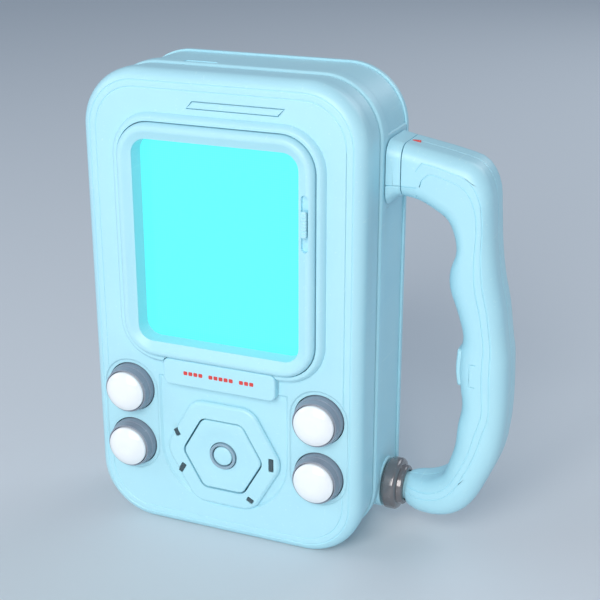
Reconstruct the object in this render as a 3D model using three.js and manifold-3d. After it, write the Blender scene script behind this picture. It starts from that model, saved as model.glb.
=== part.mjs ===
// Handheld personal digital assistant with a side grip.
// Millimetres. +Z is up, the screen faces -Y and the grip is on the +X side.
// The origin is the centre of the face that the case stands on.
import * as THREE from 'three';
import { ConvexGeometry } from 'three/addons/geometries/ConvexGeometry.js';
import { ParametricGeometry } from 'three/addons/geometries/ParametricGeometry.js';
import { mergeVertices } from 'three/addons/utils/BufferGeometryUtils.js';
import Module from 'manifold-3d';

const wasm = await Module();
wasm.setup();

// Clearances
const gap = 0.3;              // between two pieces that rest on each other
const running = 0.4;          // round a piece that slides or turns

// Case
const caseWidth = 102.6;      // over the rounded ridges
const caseHeight = 168.4;
const caseDepth = 45.2;
const caseCorner = 21;        // radius of the case's outline
const frontRound = 5;         // radius of the front panel's edge
const beadLength = 9;         // full-width band behind the front panel
const flank = 0.7;            // how far the flat sides lie inside the ridges
const wall = 2.4;
const frontShellDepth = 16.5;
const sealThick = 0.6;
const sealInset = 1.7;
const ridgeLength = 5.8;      // rounded ridge round the front of the rear shell
const backThick = 2.9;
const landHalfWidth = 24;     // flat land that the case stands on

// Screw posts and case screws
const postRadius = 3.4;
const screwRadius = 1.25;
const screwHeadRadius = 2.4;
const screwHeadHeight = 1.4;
const screwReach = 34;

// Screen
const windowWidth = 60.6;
const windowBottom = 74.1;
const windowHeight = 71.9;
const windowCorner = 5.6;
const bezelBand = 5.6;        // bezel's width round the window
const bezelRise = 4.5;        // crest above the front panel
const bezelCorner = 12.5;
const surroundBand = 2.6;     // raised border that the case has round the bezel
const surroundRise = 2.3;
const lensSetback = 3.7;      // lens face behind the front panel
const lensThick = 1.5;
const panelThick = 2.5;
const backlightThick = 1.2;
const lensOverlap = 4;        // lens beyond the window on each side

// Slider in the bezel
const sliderSlotLength = 19;
const sliderSlotWidth = 2.8;
const sliderSlotBottom = 114;
const sliderLength = 9;
const sliderSeat = 2.2;       // slot's floor above the front panel
const sliderStand = 0.5;      // above the bezel's crest

// Nameplate and badge strip
const nameplateWidth = 43;
const nameplateHeight = 9.8;
const nameplateBottom = 58.4;
const nameplateRise = 2.7;
const badgeWidth = 32.3;
const badgeHeight = 2.1;
const badgeSlant = 2.2;
const badgeCentreX = 6.8;
const badgeDrop = 10.5;       // from the top of the case to its centre
const badgeThick = 0.7;

// Push buttons
const buttonMiddle = 42.3;    // height between the two rows
const buttonClear = 2;        // between the feet of two collars
const capRadius = 7.1;
const collarWall = 1.4;
const collarTaper = 0.7;
const collarFlange = 1;       // foot behind the front panel
const collarRise = 4.2;
const domeRise = 6.6;         // dome's top above the front panel
const pressTravel = 1.5;
const switchSize = 5;
const podMargin = 2;          // shallow recess round a pair of buttons
const podGap = 0.3;           // between that recess and the bowl
const podDepth = 0.6;

// Navigation pad
const padCentreZ = 32.6;
const padApothem = 13.25;
const padCorner = 3;
const padRise = 0.9;
const padThick = 3.6;
const padGap = 0.55;          // leaves room for the pad to tilt
const ringApothem = 20;
const ringCorner = 7;
const ringThick = 1.5;
const bowlHalfWidth = 25.2;
const bowlBottom = 11.7;
const bowlTop = 57.3;
const bowlDepth = 1;
const centreRadius = 3.6;
const centreRingRadius = 5;
const centreTravel = 0.8;
const matRadius = 6.6;
const matThick = 1.7;

// Boards, battery and speaker
const boardThick = 1.6;
const boardSetback = 11.2;    // main board's face behind the front panel
const trayWidth = 57;
const trayBottom = 21.5;
const trayHeight = 81;
const trayDepth = 15.8;
const trayWall = 1.6;
const doorThick = 2.4;
const doorBarrel = 1.2;
const lockRadius = 6;
const speakerRadius = 12;
const speakerHeight = 128;
const speakerDepth = 6.5;

// Grip
const gripDepth = 22;
const gripForward = 1.8;       // from the middle of the flat sides towards the front
const gripWall = 2.2;
const gripArmDrop = 30.1;     // from the top of the case to the arm's middle
const gripFootHeight = 17.7;  // lower end's axis above the base
const rootRise = 8.9;         // root block at the case, above the arm's middle
const rootFall = 13.4;        // and below it
const rootMargin = 0.4;       // root block beyond the arm, front and back
const gripNear = 20;          // trigger's slot starts this far from the case
const collarRadius = 9.5;
const collarLength = 7.6;
const studRadius = 5.2;
const spigotRadius = 5;       // lower end of the grip, inside the locking collar
const triggerHeight = 13.5;
const triggerWidth = 14.6;
const triggerLift = 52.4;     // its middle above the lower end's axis
const triggerStand = 1;       // proud of the grip
const triggerTravel = 2;
const triggerReach = 32.8;    // its back face, from the case

// Places worked out from the sizes above
const frontY = -caseDepth / 2;
const backY = caseDepth / 2;
const panelBackY = frontY + wall;
const boardFace = frontY + boardSetback;
const splitY = frontY + frontShellDepth;
const rearShellY = splitY + 2 * gap + sealThick;
const backPlateY = backY - backThick;
const caseSide = caseWidth / 2;
const gripY = (rearShellY + ridgeLength + backPlateY) / 2 - gripForward;
const armZ = caseHeight - gripArmDrop;
const triggerZ = gripFootHeight + triggerLift;
const triggerBackX = caseSide + triggerReach;
const windowMiddle = windowBottom + windowHeight / 2;
const lensY = frontY + lensSetback;
const windowSide = windowWidth / 2;
const collarOuter = capRadius + running + collarWall;
const buttonPitch = 2 * (collarOuter + collarFlange) + buttonClear;
const buttonRows = [buttonMiddle + buttonPitch / 2, buttonMiddle - buttonPitch / 2];
const podHalfWidth = collarOuter + podMargin;
const buttonSpread = bowlHalfWidth + podGap + podHalfWidth;

// A closed geometry made into a solid that can be joined and cut
function solidOf(geometry) {
  const bare = geometry.index ? geometry.toNonIndexed() : geometry.clone();
  bare.deleteAttribute('normal');
  bare.deleteAttribute('uv');
  const merged = mergeVertices(bare, 1e-4);
  const place = merged.attributes.position;
  const corners = [];
  let volume = 0;
  const [a, b, c] = [new THREE.Vector3(), new THREE.Vector3(), new THREE.Vector3()];
  for (let i = 0; i < merged.index.count; i += 3) {
    const tri = [0, 1, 2].map((k) => merged.index.getX(i + k));
    if (new Set(tri).size === 3) {
      corners.push(...tri);
      [a, b, c].forEach((point, k) => point.fromBufferAttribute(place, tri[k]));
      volume += a.dot(b.cross(c));
    }
  }
  if (volume < 0) {
    corners.reverse();
  }
  return new wasm.Manifold(new wasm.Mesh({
    numProp: 3,
    vertProperties: new Float32Array(place.array),
    triVerts: new Uint32Array(corners),
  }));
}

function joined(...solids) {
  return solids.reduce((whole, solid) => whole.add(solid));
}

function cut(solid, ...tools) {
  return tools.reduce((whole, tool) => whole.subtract(tool), solid);
}

// Outlines, in X and Z
function roundedRect(x0, x1, z0, z1, radius) {
  const shape = new THREE.Shape();
  shape.absarc(x1 - radius, z1 - radius, radius, 0, Math.PI / 2);
  shape.absarc(x0 + radius, z1 - radius, radius, Math.PI / 2, Math.PI);
  shape.absarc(x0 + radius, z0 + radius, radius, Math.PI, 1.5 * Math.PI);
  shape.absarc(x1 - radius, z0 + radius, radius, 1.5 * Math.PI, 2 * Math.PI);
  return shape;
}

function roundedHex(apothem, radius) {
  const shape = new THREE.Shape();
  const reach = (apothem - radius) / Math.cos(Math.PI / 6);
  for (let side = 0; side < 6; side += 1) {
    const aim = side * Math.PI / 3;
    const x = reach * Math.cos(aim);
    const z = padCentreZ + reach * Math.sin(aim);
    shape.absarc(x, z, radius, aim - Math.PI / 6, aim + Math.PI / 6);
  }
  return shape;
}

// The case's outline, moved inwards
function caseOutline(inset) {
  const side = caseSide - inset;
  return roundedRect(-side, side, inset, caseHeight - inset, caseCorner - inset);
}

// The window's outline, moved outwards
function windowOutline(grow, radius) {
  const side = windowSide + grow;
  const bottom = windowBottom - grow;
  return roundedRect(-side, side, bottom, bottom + windowHeight + 2 * grow, radius);
}

// An outline given thickness from one Y to another
function plate(outline, fromY, toY, curveSegments = 3) {
  const slab = new THREE.ExtrudeGeometry(outline, {
    depth: toY - fromY,
    bevelEnabled: false,
    curveSegments,
  });
  slab.rotateX(Math.PI / 2);
  slab.translate(0, toY, 0);
  return solidOf(slab);
}

// A solid drawn tightly round several outlines, each at its own Y
function crowned(rings, divisions = 3) {
  const points = rings.flatMap(([outline, y]) => (
    outline.getPoints(divisions).map((p) => new THREE.Vector3(p.x, y, p.y))
  ));
  return solidOf(new ConvexGeometry(points));
}

function block(x0, x1, y0, y1, z0, z1) {
  const box = new THREE.BoxGeometry(x1 - x0, y1 - y0, z1 - z0);
  box.translate((x0 + x1) / 2, (y0 + y1) / 2, (z0 + z1) / 2);
  return solidOf(box);
}

// A profile of [radius, y] pairs turned about a line parallel to Y
function turned(profile, x, z, segments = 20) {
  const points = profile.map(([radius, y]) => new THREE.Vector2(radius, y));
  const lathe = new THREE.LatheGeometry(points, segments);
  lathe.translate(x, 0, z);
  return solidOf(lathe);
}

function rod(radius, fromY, toY, x, z, segments = 12) {
  return turned([[0, fromY], [radius, fromY], [radius, toY], [0, toY]], x, z, segments);
}

// A profile of [radius, x] pairs turned about a line parallel to X
function turnedAlongX(profile, y, z, segments = 20) {
  const points = profile.map(([radius, x]) => new THREE.Vector2(radius, x));
  const lathe = new THREE.LatheGeometry(points, segments);
  lathe.rotateZ(-Math.PI / 2);
  lathe.translate(0, y, z);
  return solidOf(lathe);
}

// Materials
const paleBlue = { color: 0xbfe9f7, roughness: 0.38, metalness: 0 };
const clearWhite = { color: 0xf4fafc, roughness: 0.3, metalness: 0 };
const collarGrey = { color: 0x6f7680, roughness: 0.35, metalness: 0.2 };
const screenCyan = { color: 0x5df4ff, roughness: 0.12, metalness: 0 };
const sealDark = { color: 0x3a4650, roughness: 0.7, metalness: 0 };
const boardGreen = { color: 0x1f5a45, roughness: 0.5, metalness: 0 };
const steel = { color: 0xb4b9bf, roughness: 0.3, metalness: 1 };
const darkPlastic = { color: 0x2b3036, roughness: 0.5, metalness: 0 };
const nutGrey = { color: 0x8a8588, roughness: 0.25, metalness: 0.3 };
const signalRed = { color: 0xd8322c, roughness: 0.3, metalness: 0 };

const group = new THREE.Group();

function addPiece(name, solid, finish) {
  const raw = solid.getMesh();
  const geometry = new THREE.BufferGeometry();
  geometry.setAttribute('position', new THREE.BufferAttribute(raw.vertProperties.slice(), 3));
  geometry.setIndex(new THREE.BufferAttribute(raw.triVerts.slice(), 1));
  geometry.computeVertexNormals();
  const mesh = new THREE.Mesh(geometry, new THREE.MeshStandardMaterial(finish));
  mesh.name = name;
  group.add(mesh);
}

// Places shared by the shells, the covers and the screws
function postPlaces() {
  const inside = caseCorner - flank - wall - postRadius + 0.8;
  const cornerX = caseSide - caseCorner + inside / Math.SQRT2;
  const cornerZ = caseCorner - inside / Math.SQRT2;
  const sideX = caseSide - flank - wall - postRadius + 0.8;
  return [1, -1].flatMap((side) => [
    [side * cornerX, cornerZ],
    [side * sideX, caseHeight / 2],
    [side * cornerX, caseHeight - cornerZ],
  ]);
}

function buttonPlaces() {
  return [-1, 1].flatMap((side) => buttonRows.map((z) => [side * buttonSpread, z]));
}

// Grip: sections across its path, each from an outer to an inner point.
// Upper points are measured from the arm's middle, lower ones from the lower end's axis.
const upperSections = [
  { outer: [5.5, 7.9], inner: [5.5, -9.9], depth: 1, square: 4 },
  { outer: [12.7, 6.6], inner: [10.9, -10.9], depth: 1, square: 4 },
  { outer: [21.4, 4.9], inner: [16.4, -13.6], depth: 1, square: 4 },
  { outer: [30, 2.3], inner: [20.7, -16.8], depth: 1, square: 3.6 },
  { outer: [34.6, -4.7], inner: [23.1, -22], depth: 1, square: 3.3 },
  { outer: [35.8, -14], inner: [23.8, -27.8], depth: 1, square: 3 },
  { outer: [36.7, -25.3], inner: [22, -33.9], depth: 1, square: 3 },
  { outer: [38.3, -36.3], inner: [22.1, -40.1], depth: 1, square: 3 },
  { outer: [40.5, -45.8], inner: [24.9, -47.7], depth: 1, square: 3 },
  { outer: [42.3, -58.3], inner: [27.4, -56.3], depth: 1, square: 3 },
];
const lowerSections = [
  { outer: [43.1, 58], inner: [26.7, 58.3], depth: 1, square: 3 },
  { outer: [43.5, 51], inner: [26.4, 51.5], depth: 1, square: 3 },
  { outer: [43.7, 44.5], inner: [27.3, 45], depth: 1, square: 3 },
  { outer: [43.7, 37.5], inner: [28.2, 38], depth: 1, square: 3 },
  { outer: [43.2, 29.5], inner: [27, 30.5], depth: 1, square: 3 },
  { outer: [41.8, 20.8], inner: [26.4, 22.8], depth: 1, square: 3 },
  { outer: [38.3, 11.2], inner: [24.4, 15.6], depth: 1, square: 3 },
  { outer: [33.6, 1.7], inner: [22.4, 10.2], depth: 1, square: 3 },
  { outer: [27.9, -3.9], inner: [18.6, 7.2], depth: 0.97, square: 3 },
  { outer: [20.8, -6.5], inner: [15, 5.9], depth: 0.9, square: 2.8 },
  { outer: [14, -6.7], inner: [11.7, 5.6], depth: 0.8, square: 2.6 },
  { outer: [9.6, -6], inner: [9.2, 5.4], depth: 0.62, square: 2.3 },
  { outer: [8, -spigotRadius], inner: [8, spigotRadius], halfDepth: spigotRadius, square: 2 },
  { outer: [4.7, -spigotRadius], inner: [4.7, spigotRadius], halfDepth: spigotRadius, square: 2 },
];

function gripSections() {
  const placed = (section, z) => ({
    outer: new THREE.Vector3(caseSide + section.outer[0], gripY, z + section.outer[1]),
    inner: new THREE.Vector3(caseSide + section.inner[0], gripY, z + section.inner[1]),
    halfDepth: section.halfDepth ?? section.depth * gripDepth / 2,
    square: section.square,
  });
  return [
    ...upperSections.map((section) => placed(section, armZ)),
    ...lowerSections.map((section) => placed(section, gripFootHeight)),
  ];
}

// The grip's body, or the hollow in it when inset is above 0
function gripBody(inset, stations = 36, around = 16) {
  const sections = gripSections();
  const outerLine = new THREE.CatmullRomCurve3(sections.map((section) => section.outer));
  const innerLine = new THREE.CatmullRomCurve3(sections.map((section) => section.inner));
  const last = sections.length - 1;
  const between = (key, t) => {
    const from = Math.min(Math.floor(t * last), last - 1);
    return THREE.MathUtils.lerp(sections[from][key], sections[from + 1][key], t * last - from);
  };
  const shape = (u, v, target) => {
    const step = Math.round(v * (stations + 2));
    const t = THREE.MathUtils.clamp((step - 1) / stations, 0, 1);
    const outer = outerLine.getPoint(t);
    const inner = innerLine.getPoint(t);
    target.copy(outer).add(inner).multiplyScalar(0.5);
    if (step > 0 && step < stations + 2) {
      const across = outer.sub(target);
      across.setLength(across.length() - inset);
      const angle = (u % 1) * 2 * Math.PI;
      const round = (value) => Math.sign(value) * Math.abs(value) ** (2 / between('square', t));
      target.addScaledVector(across, round(Math.cos(angle)));
      target.y += (between('halfDepth', t) - inset) * round(Math.sin(angle));
    }
  };
  return solidOf(new ParametricGeometry(shape, around, stations + 2));
}

function gripScrewPlaces() {
  return [
    [caseSide + 19.5, armZ - 4],
    [caseSide + 33.6, armZ - 47],
    [caseSide + 31.5, gripFootHeight + 16],
  ];
}

function triggerSlot() {
  const y = triggerWidth / 2 + running;
  const z = triggerHeight / 2 + running;
  const back = triggerBackX + triggerTravel;
  return block(caseSide + gripNear, back, gripY - y, gripY + y, triggerZ - z, triggerZ + z);
}

// Case shells
function frontShell() {
  const rounding = [0, 1, 2, 3].map((step) => {
    const angle = step / 3 * Math.PI / 2;
    return [
      caseOutline(frontRound * (1 - Math.sin(angle))),
      frontY + frontRound * (1 - Math.cos(angle)),
    ];
  });
  const bead = crowned([
    ...rounding,
    [caseOutline(0), frontY + beadLength - 1],
    [caseOutline(flank), frontY + beadLength],
  ]);
  const side = plate(caseOutline(flank), frontY + beadLength - 1, splitY);
  const hollow = plate(caseOutline(flank + wall + frontRound / 3), panelBackY, frontY + frontRound);
  const deepHollow = plate(caseOutline(flank + wall), frontY + frontRound - 0.5, splitY + 1);
  const border = crowned([
    [windowOutline(bezelBand + gap + surroundBand, bezelCorner + surroundBand), frontY],
    [windowOutline(bezelBand + gap + 0.7, bezelCorner + 0.7), frontY - surroundRise],
    [windowOutline(bezelBand + gap + surroundBand, bezelCorner + surroundBand), frontY + 1],
  ]);
  const seat = plate(windowOutline(bezelBand + gap, bezelCorner), frontY - 5, frontY);
  const opening = plate(windowOutline(2.6, windowCorner + 2), frontY - 5, panelBackY + 1);
  const posts = postPlaces().map(([x, z]) => rod(postRadius, panelBackY - 1, splitY, x, z));
  const pilots = postPlaces().map(([x, z]) => rod(screwRadius + gap, panelBackY + 1, splitY + 1, x, z));
  const pods = [-1, 1].map((side) => plate(
    roundedRect(
      side * buttonSpread - podHalfWidth,
      side * buttonSpread + podHalfWidth,
      buttonRows[1] - podHalfWidth,
      buttonRows[0] + podHalfWidth,
      podHalfWidth - 0.1,
    ),
    frontY - 1,
    frontY + podDepth,
  ));
  const buttonHoles = buttonPlaces().map(([x, z]) => (
    rod(collarOuter + gap, frontY - 1, panelBackY + 1, x, z, 20)
  ));
  const flangeSeats = buttonPlaces().map(([x, z]) => (
    rod(collarOuter + collarFlange + 0.1, panelBackY, frontY + frontRound, x, z, 20)
  ));
  const bowl = plate(bowlOutline(), frontY - 1, frontY + bowlDepth);
  const ringHole = plate(roundedHex(ringApothem - 2 + gap, ringCorner - 2), frontY, panelBackY + 1);
  const nameplateSeat = plate(nameplateOutline(gap), frontY - 5, frontY + 0.2);
  const badgeSeat = plate(badgeOutline(gap), frontY - 1, frontY + badgeThick + gap);
  return cut(
    joined(cut(joined(bead, side), hollow, deepHollow), cut(border, seat), ...posts),
    ...pilots, opening, ...pods, ...buttonHoles, ...flangeSeats, bowl, ringHole, nameplateSeat, badgeSeat,
  );
}

function bowlOutline() {
  const shape = new THREE.Shape();
  const turn = bowlHalfWidth - 3;
  shape.moveTo(bowlHalfWidth, bowlTop);
  shape.lineTo(-bowlHalfWidth, bowlTop);
  shape.absarc(-bowlHalfWidth + turn, bowlBottom + turn, turn, Math.PI, 1.5 * Math.PI);
  shape.absarc(bowlHalfWidth - turn, bowlBottom + turn, turn, 1.5 * Math.PI, 2 * Math.PI);
  return shape;
}

function nameplateOutline(grow) {
  const side = nameplateWidth / 2 + grow;
  const top = nameplateBottom + nameplateHeight + grow;
  return roundedRect(-side, side, nameplateBottom - grow, top, 2.4 + grow);
}

function badgeOutline(grow) {
  const middle = caseHeight - badgeDrop;
  const half = badgeWidth / 2 + grow;
  const rise = badgeHeight / 2 + grow;
  const lean = badgeSlant / 2;
  return new THREE.Shape([
    new THREE.Vector2(badgeCentreX - half - lean, middle - rise),
    new THREE.Vector2(badgeCentreX + half - lean, middle - rise),
    new THREE.Vector2(badgeCentreX + half + lean, middle + rise),
    new THREE.Vector2(badgeCentreX - half + lean, middle + rise),
  ]);
}

function rearShell() {
  const ridge = crowned([
    [caseOutline(flank), rearShellY],
    [caseOutline(0), rearShellY + 1],
    [caseOutline(0), rearShellY + ridgeLength - 1],
    [caseOutline(flank), rearShellY + ridgeLength],
  ]);
  const side = plate(caseOutline(flank), rearShellY, backPlateY - gap);
  const rootPad = block(
    caseSide - 3, caseSide, gripY - gripDepth / 2 - rootMargin - 0.5, backPlateY - gap,
    armZ - rootFall - 0.8, armZ + rootRise + 0.8,
  );
  const footPad = turnedAlongX(
    [[0, caseSide - 14], [collarRadius - 0.8, caseSide - 14], [collarRadius - 0.8, caseSide], [0, caseSide]],
    gripY, gripFootHeight,
  );
  const hollow = plate(caseOutline(flank + wall), rearShellY - 1, backPlateY);
  const land = block(-landHalfWidth, landHalfWidth, rearShellY + 1, backPlateY - gap, 0, wall);
  const posts = postPlaces().map(([x, z]) => rod(postRadius, rearShellY, backPlateY - gap, x, z));
  const bores = postPlaces().map(([x, z]) => rod(screwRadius + running, rearShellY - 1, backPlateY, x, z));
  const span = block(-caseSide, caseSide, rearShellY, backPlateY - gap, 0, caseHeight);
  const outside = cut(joined(ridge, side, rootPad, footPad, land).intersect(span), hollow);
  return cut(joined(outside, ...posts), ...bores);
}

function sealRing() {
  return cut(
    plate(caseOutline(sealInset), splitY + gap, rearShellY - gap),
    plate(caseOutline(flank + wall), splitY, rearShellY),
  );
}

// Back cover, battery bay and its door
const doorSide = trayWidth / 2 - 0.5;
const doorTop = trayBottom + trayHeight - 0.5;
const hingeY = backPlateY + backThick / 2;
const hingeZ = trayBottom + 0.5 + doorBarrel;
const lockZ = doorTop - lockRadius - 3;

function backCover() {
  const body = crowned([
    [caseOutline(0), backPlateY],
    [caseOutline(0), backY - 1.4],
    [caseOutline(0.5), backY - 0.4],
    [caseOutline(1.6), backY],
  ]);
  const side = trayWidth / 2;
  const opening = block(-side, side, backPlateY - 1, backY + 1, trayBottom, trayBottom + trayHeight);
  const hinge = turnedAlongX(
    [[0, -side - 2.2], [1.1, -side - 2.2], [1.1, side + 2.2], [0, side + 2.2]], hingeY, hingeZ, 12,
  );
  const bores = postPlaces().map(([x, z]) => rod(screwRadius + running, backPlateY - 1, backY + 1, x, z));
  const heads = postPlaces().map(([x, z]) => (
    rod(screwHeadRadius + running, backY - screwHeadHeight - gap, backY + 1, x, z)
  ));
  const slots = [-2, -1, 0, 1, 2].map((row) => {
    const reach = Math.sqrt((speakerRadius - 2.5) ** 2 - (row * 4) ** 2);
    const z = speakerHeight + row * 4;
    return plate(roundedRect(-reach, reach, z - 0.9, z + 0.9, 0.85), backPlateY - 1, backY + 1, 2);
  });
  return cut(body, opening, hinge, ...bores, ...heads, ...slots);
}

function batteryDoor() {
  const panel = block(
    -doorSide, doorSide, hingeY - doorThick / 2, hingeY + doorThick / 2, hingeZ, doorTop,
  );
  const barrel = turnedAlongX(
    [[0, -doorSide], [doorBarrel, -doorSide], [doorBarrel, doorSide], [0, doorSide]], hingeY, hingeZ, 16,
  );
  const pinReach = trayWidth / 2 + 1.8;
  const pin = turnedAlongX(
    [[0, -pinReach], [0.8, -pinReach], [0.8, pinReach], [0, pinReach]], hingeY, hingeZ, 12,
  );
  const lockSeat = rod(lockRadius + running, hingeY + 0.3, backY + 1, 0, lockZ, 24);
  const lockBore = rod(2.5 + running, backPlateY - 1, backY, 0, lockZ);
  return cut(joined(panel, barrel, pin), lockSeat, lockBore);
}

function doorLock() {
  const head = rod(lockRadius, hingeY + 0.6, hingeY + doorThick / 2 + 0.1, 0, lockZ, 24);
  const shank = rod(2.5, backPlateY - 0.6, hingeY + 1, 0, lockZ);
  const coinSlot = block(-4.6, 4.6, hingeY + 0.9, backY + 1, lockZ - 0.7, lockZ + 0.7);
  return cut(joined(head, shank), coinSlot);
}

function batteryTray() {
  const side = trayWidth / 2;
  const top = trayBottom + trayHeight;
  const back = backPlateY - gap;
  return cut(
    block(-side - trayWall, side + trayWall, back - trayDepth, back, trayBottom - trayWall, top + trayWall),
    block(-side, side, back - trayDepth + trayWall, back + 1, trayBottom, top),
  );
}

function batteryPack() {
  const side = trayWidth / 2 - 1;
  const front = backPlateY - gap - trayDepth + trayWall + gap;
  return plate(
    roundedRect(-side, side, trayBottom + 2.5, trayBottom + trayHeight - 2.5, 3), front, backPlateY - 1.2,
  );
}

function speakerUnit() {
  const back = backPlateY - gap;
  return turned([
    [0, back - speakerDepth],
    [speakerRadius * 0.55, back - speakerDepth],
    [speakerRadius * 0.6, back - 3],
    [speakerRadius, back - 2],
    [speakerRadius, back],
    [0, back],
  ], 0, speakerHeight);
}

function caseScrew(x, z) {
  const headY = backY - 0.2;
  return turned([
    [0, headY - screwReach],
    [screwRadius, headY - screwReach],
    [screwRadius, headY - screwHeadHeight],
    [screwHeadRadius, headY - screwHeadHeight],
    [screwHeadRadius, headY],
    [0, headY],
  ], x, z, 10);
}

// Screen
function screenBezel() {
  const body = crowned([
    [windowOutline(bezelBand, bezelCorner - gap), frontY - gap],
    [windowOutline(bezelBand, bezelCorner - gap), frontY - bezelRise + 2],
    [windowOutline(bezelBand - 0.8, bezelCorner - 0.8), frontY - bezelRise + 0.8],
    [windowOutline(bezelBand - 2.4, bezelCorner - 2.4), frontY - bezelRise],
  ]);
  const skirt = plate(windowOutline(2.6 - gap, windowCorner + 2 - gap), frontY - 1, lensY - gap);
  const mouth = crowned([
    [windowOutline(2, windowCorner + 2), frontY - bezelRise - 1],
    [windowOutline(2, windowCorner + 2), frontY - bezelRise],
    [windowOutline(0.6, windowCorner + 0.6), frontY - bezelRise + 1.8],
    [windowOutline(0, windowCorner), frontY - 0.8],
  ]);
  const light = plate(windowOutline(0, windowCorner), frontY - 1.5, lensY);
  const x = sliderX();
  const slot = block(
    x - sliderSlotWidth / 2, x + sliderSlotWidth / 2, frontY - bezelRise - 1, frontY - sliderSeat,
    sliderSlotBottom, sliderSlotBottom + sliderSlotLength,
  );
  return cut(joined(body, skirt), mouth, light, slot);
}

function sliderX() {
  return windowSide + bezelBand / 2 - 0.3;
}

function bezelSlider() {
  const x = sliderX();
  const half = sliderSlotWidth / 2 - running;
  const middle = sliderSlotBottom + sliderSlotLength / 2;
  return block(
    x - half, x + half, frontY - bezelRise - sliderStand, frontY - sliderSeat - gap,
    middle - sliderLength / 2, middle + sliderLength / 2,
  );
}

function screenLens() {
  return plate(windowOutline(lensOverlap, windowCorner), lensY, lensY + lensThick);
}

function displayPanel() {
  const y = lensY + lensThick + gap;
  return plate(windowOutline(lensOverlap - 1, 2), y, y + panelThick, 1);
}

function backlightPlate() {
  const y = lensY + lensThick + panelThick + 2 * gap;
  return plate(windowOutline(lensOverlap - 1, 2), y, y + backlightThick, 1);
}

function nameplate() {
  return crowned([
    [nameplateOutline(0), frontY + 0.2 - gap],
    [nameplateOutline(0), frontY - nameplateRise + 0.6],
    [nameplateOutline(-0.6), frontY - nameplateRise],
  ]);
}

function badgeStrip() {
  return plate(badgeOutline(0), frontY, frontY + badgeThick);
}

// Buttons: a domed cap in a collar, over its switch
function buttonCap(x, z) {
  const domeBase = frontY - collarRise + 0.4;
  const top = frontY - domeRise;
  const profile = [[0, boardFace - gap - switchSize - pressTravel - gap]];
  profile.push([2, boardFace - gap - switchSize - pressTravel - gap]);
  profile.push([2, panelBackY + 0.6]);
  profile.push([capRadius, panelBackY + 0.6]);
  for (let step = 0; step <= 4; step += 1) {
    const angle = step / 4 * Math.PI / 2;
    profile.push([capRadius * Math.cos(angle), domeBase - (domeBase - top) * Math.sin(angle)]);
  }
  profile[profile.length - 1][0] = 0;
  return turned(profile, x, z);
}

function buttonCollar(x, z) {
  const inner = capRadius + running;
  const crest = collarOuter - collarTaper;
  const flange = panelBackY + gap;
  return turned([
    [inner, flange + 1.1],
    [collarOuter + collarFlange, flange + 1.1],
    [collarOuter + collarFlange, flange],
    [collarOuter, flange],
    [collarOuter, frontY],
    [crest, frontY - collarRise + 0.3],
    [crest - 0.3, frontY - collarRise],
    [inner, frontY - collarRise],
    [inner, flange + 1.1],
  ], x, z);
}

function switchBlock(x, z) {
  const half = switchSize / 2;
  const face = boardFace - gap;
  return joined(
    block(x - half, x + half, face - switchSize + 1.2, face, z - half, z + half),
    rod(1.7, face - switchSize, face - 1, x, z),
  );
}

// Navigation pad
function navRing() {
  const seatY = frontY + bowlDepth - gap;
  const flange = crowned([
    [roundedHex(ringApothem, ringCorner), seatY],
    [roundedHex(ringApothem, ringCorner), seatY - ringThick + 0.9],
    [roundedHex(ringApothem - 1.4, ringCorner - 1.4), seatY - ringThick],
  ]);
  const spigot = plate(roundedHex(ringApothem - 2, ringCorner - 2), seatY - 0.5, panelBackY);
  const mouth = plate(roundedHex(padApothem + padGap, padCorner + padGap), frontY - 3, panelBackY + 1);
  const pockets = lampPlaces().map((lamp) => lampBlock(lamp, gap));
  return cut(joined(flange, spigot), mouth, ...pockets);
}

function lampPlaces() {
  return [
    { x: -18, z: padCentreZ + 6.4, length: 2.6, turn: -Math.PI / 6 },
    { x: -16.3, z: padCentreZ - 7.6, length: 3.6, turn: Math.PI / 6 },
    { x: 18.9, z: padCentreZ + 0.2, length: 4.6, turn: 0 },
    { x: 10.6, z: padCentreZ - 15.4, length: 2.2, turn: -Math.PI / 3 },
  ];
}

function lampBlock({ x, z, length, turn }, grow) {
  const face = frontY + bowlDepth - gap - ringThick;
  const box = new THREE.BoxGeometry(1.4 + 2 * grow, 1 + 2 * grow, length + 2 * grow);
  box.rotateY(turn);
  box.translate(x, face + 0.55, z);
  return solidOf(box);
}

const padFaceY = frontY - padRise;

function navPad() {
  const back = padFaceY + padThick;
  const body = crowned([
    [roundedHex(padApothem, padCorner), back],
    [roundedHex(padApothem, padCorner), padFaceY + 0.5],
    [roundedHex(padApothem - 0.5, padCorner - 0.5), padFaceY],
  ]);
  const dish = turned([
    [0, padFaceY - 1], [11.5, padFaceY - 1], [11.5, padFaceY], [8, padFaceY + 0.8], [0, padFaceY + 0.8],
  ], 0, padCentreZ);
  const bore = rod(centreRingRadius + gap, frontY - 2, back - 1, 0, padCentreZ);
  const stem = rod(centreRadius + running, frontY, back + 1, 0, padCentreZ);
  return cut(body, dish, bore, stem);
}

function centreRing() {
  const inner = centreRadius + running;
  const back = padFaceY + padThick - 1 - gap;
  return turned([
    [inner, back],
    [centreRingRadius, back],
    [centreRingRadius, padFaceY + 0.3],
    [centreRingRadius - 0.5, padFaceY - 0.1],
    [inner, padFaceY - 0.1],
    [inner, back],
  ], 0, padCentreZ);
}

function centreButton() {
  const back = boardFace - gap - switchSize - centreTravel - 2 * gap;
  return turned([
    [0, back],
    [1.8, back],
    [1.8, padFaceY + padThick - 1.5],
    [centreRadius, padFaceY + padThick - 1.5],
    [centreRadius, padFaceY + 0.6],
    [centreRadius - 0.6, padFaceY + 0.15],
    [0, padFaceY],
  ], 0, padCentreZ);
}

function navMat() {
  const face = padFaceY + padThick + 0.7;
  return cut(
    rod(matRadius, face, face + matThick, 0, padCentreZ, 16),
    rod(3.2, face - 1, face + matThick + 1, 0, padCentreZ, 16),
  );
}

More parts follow.
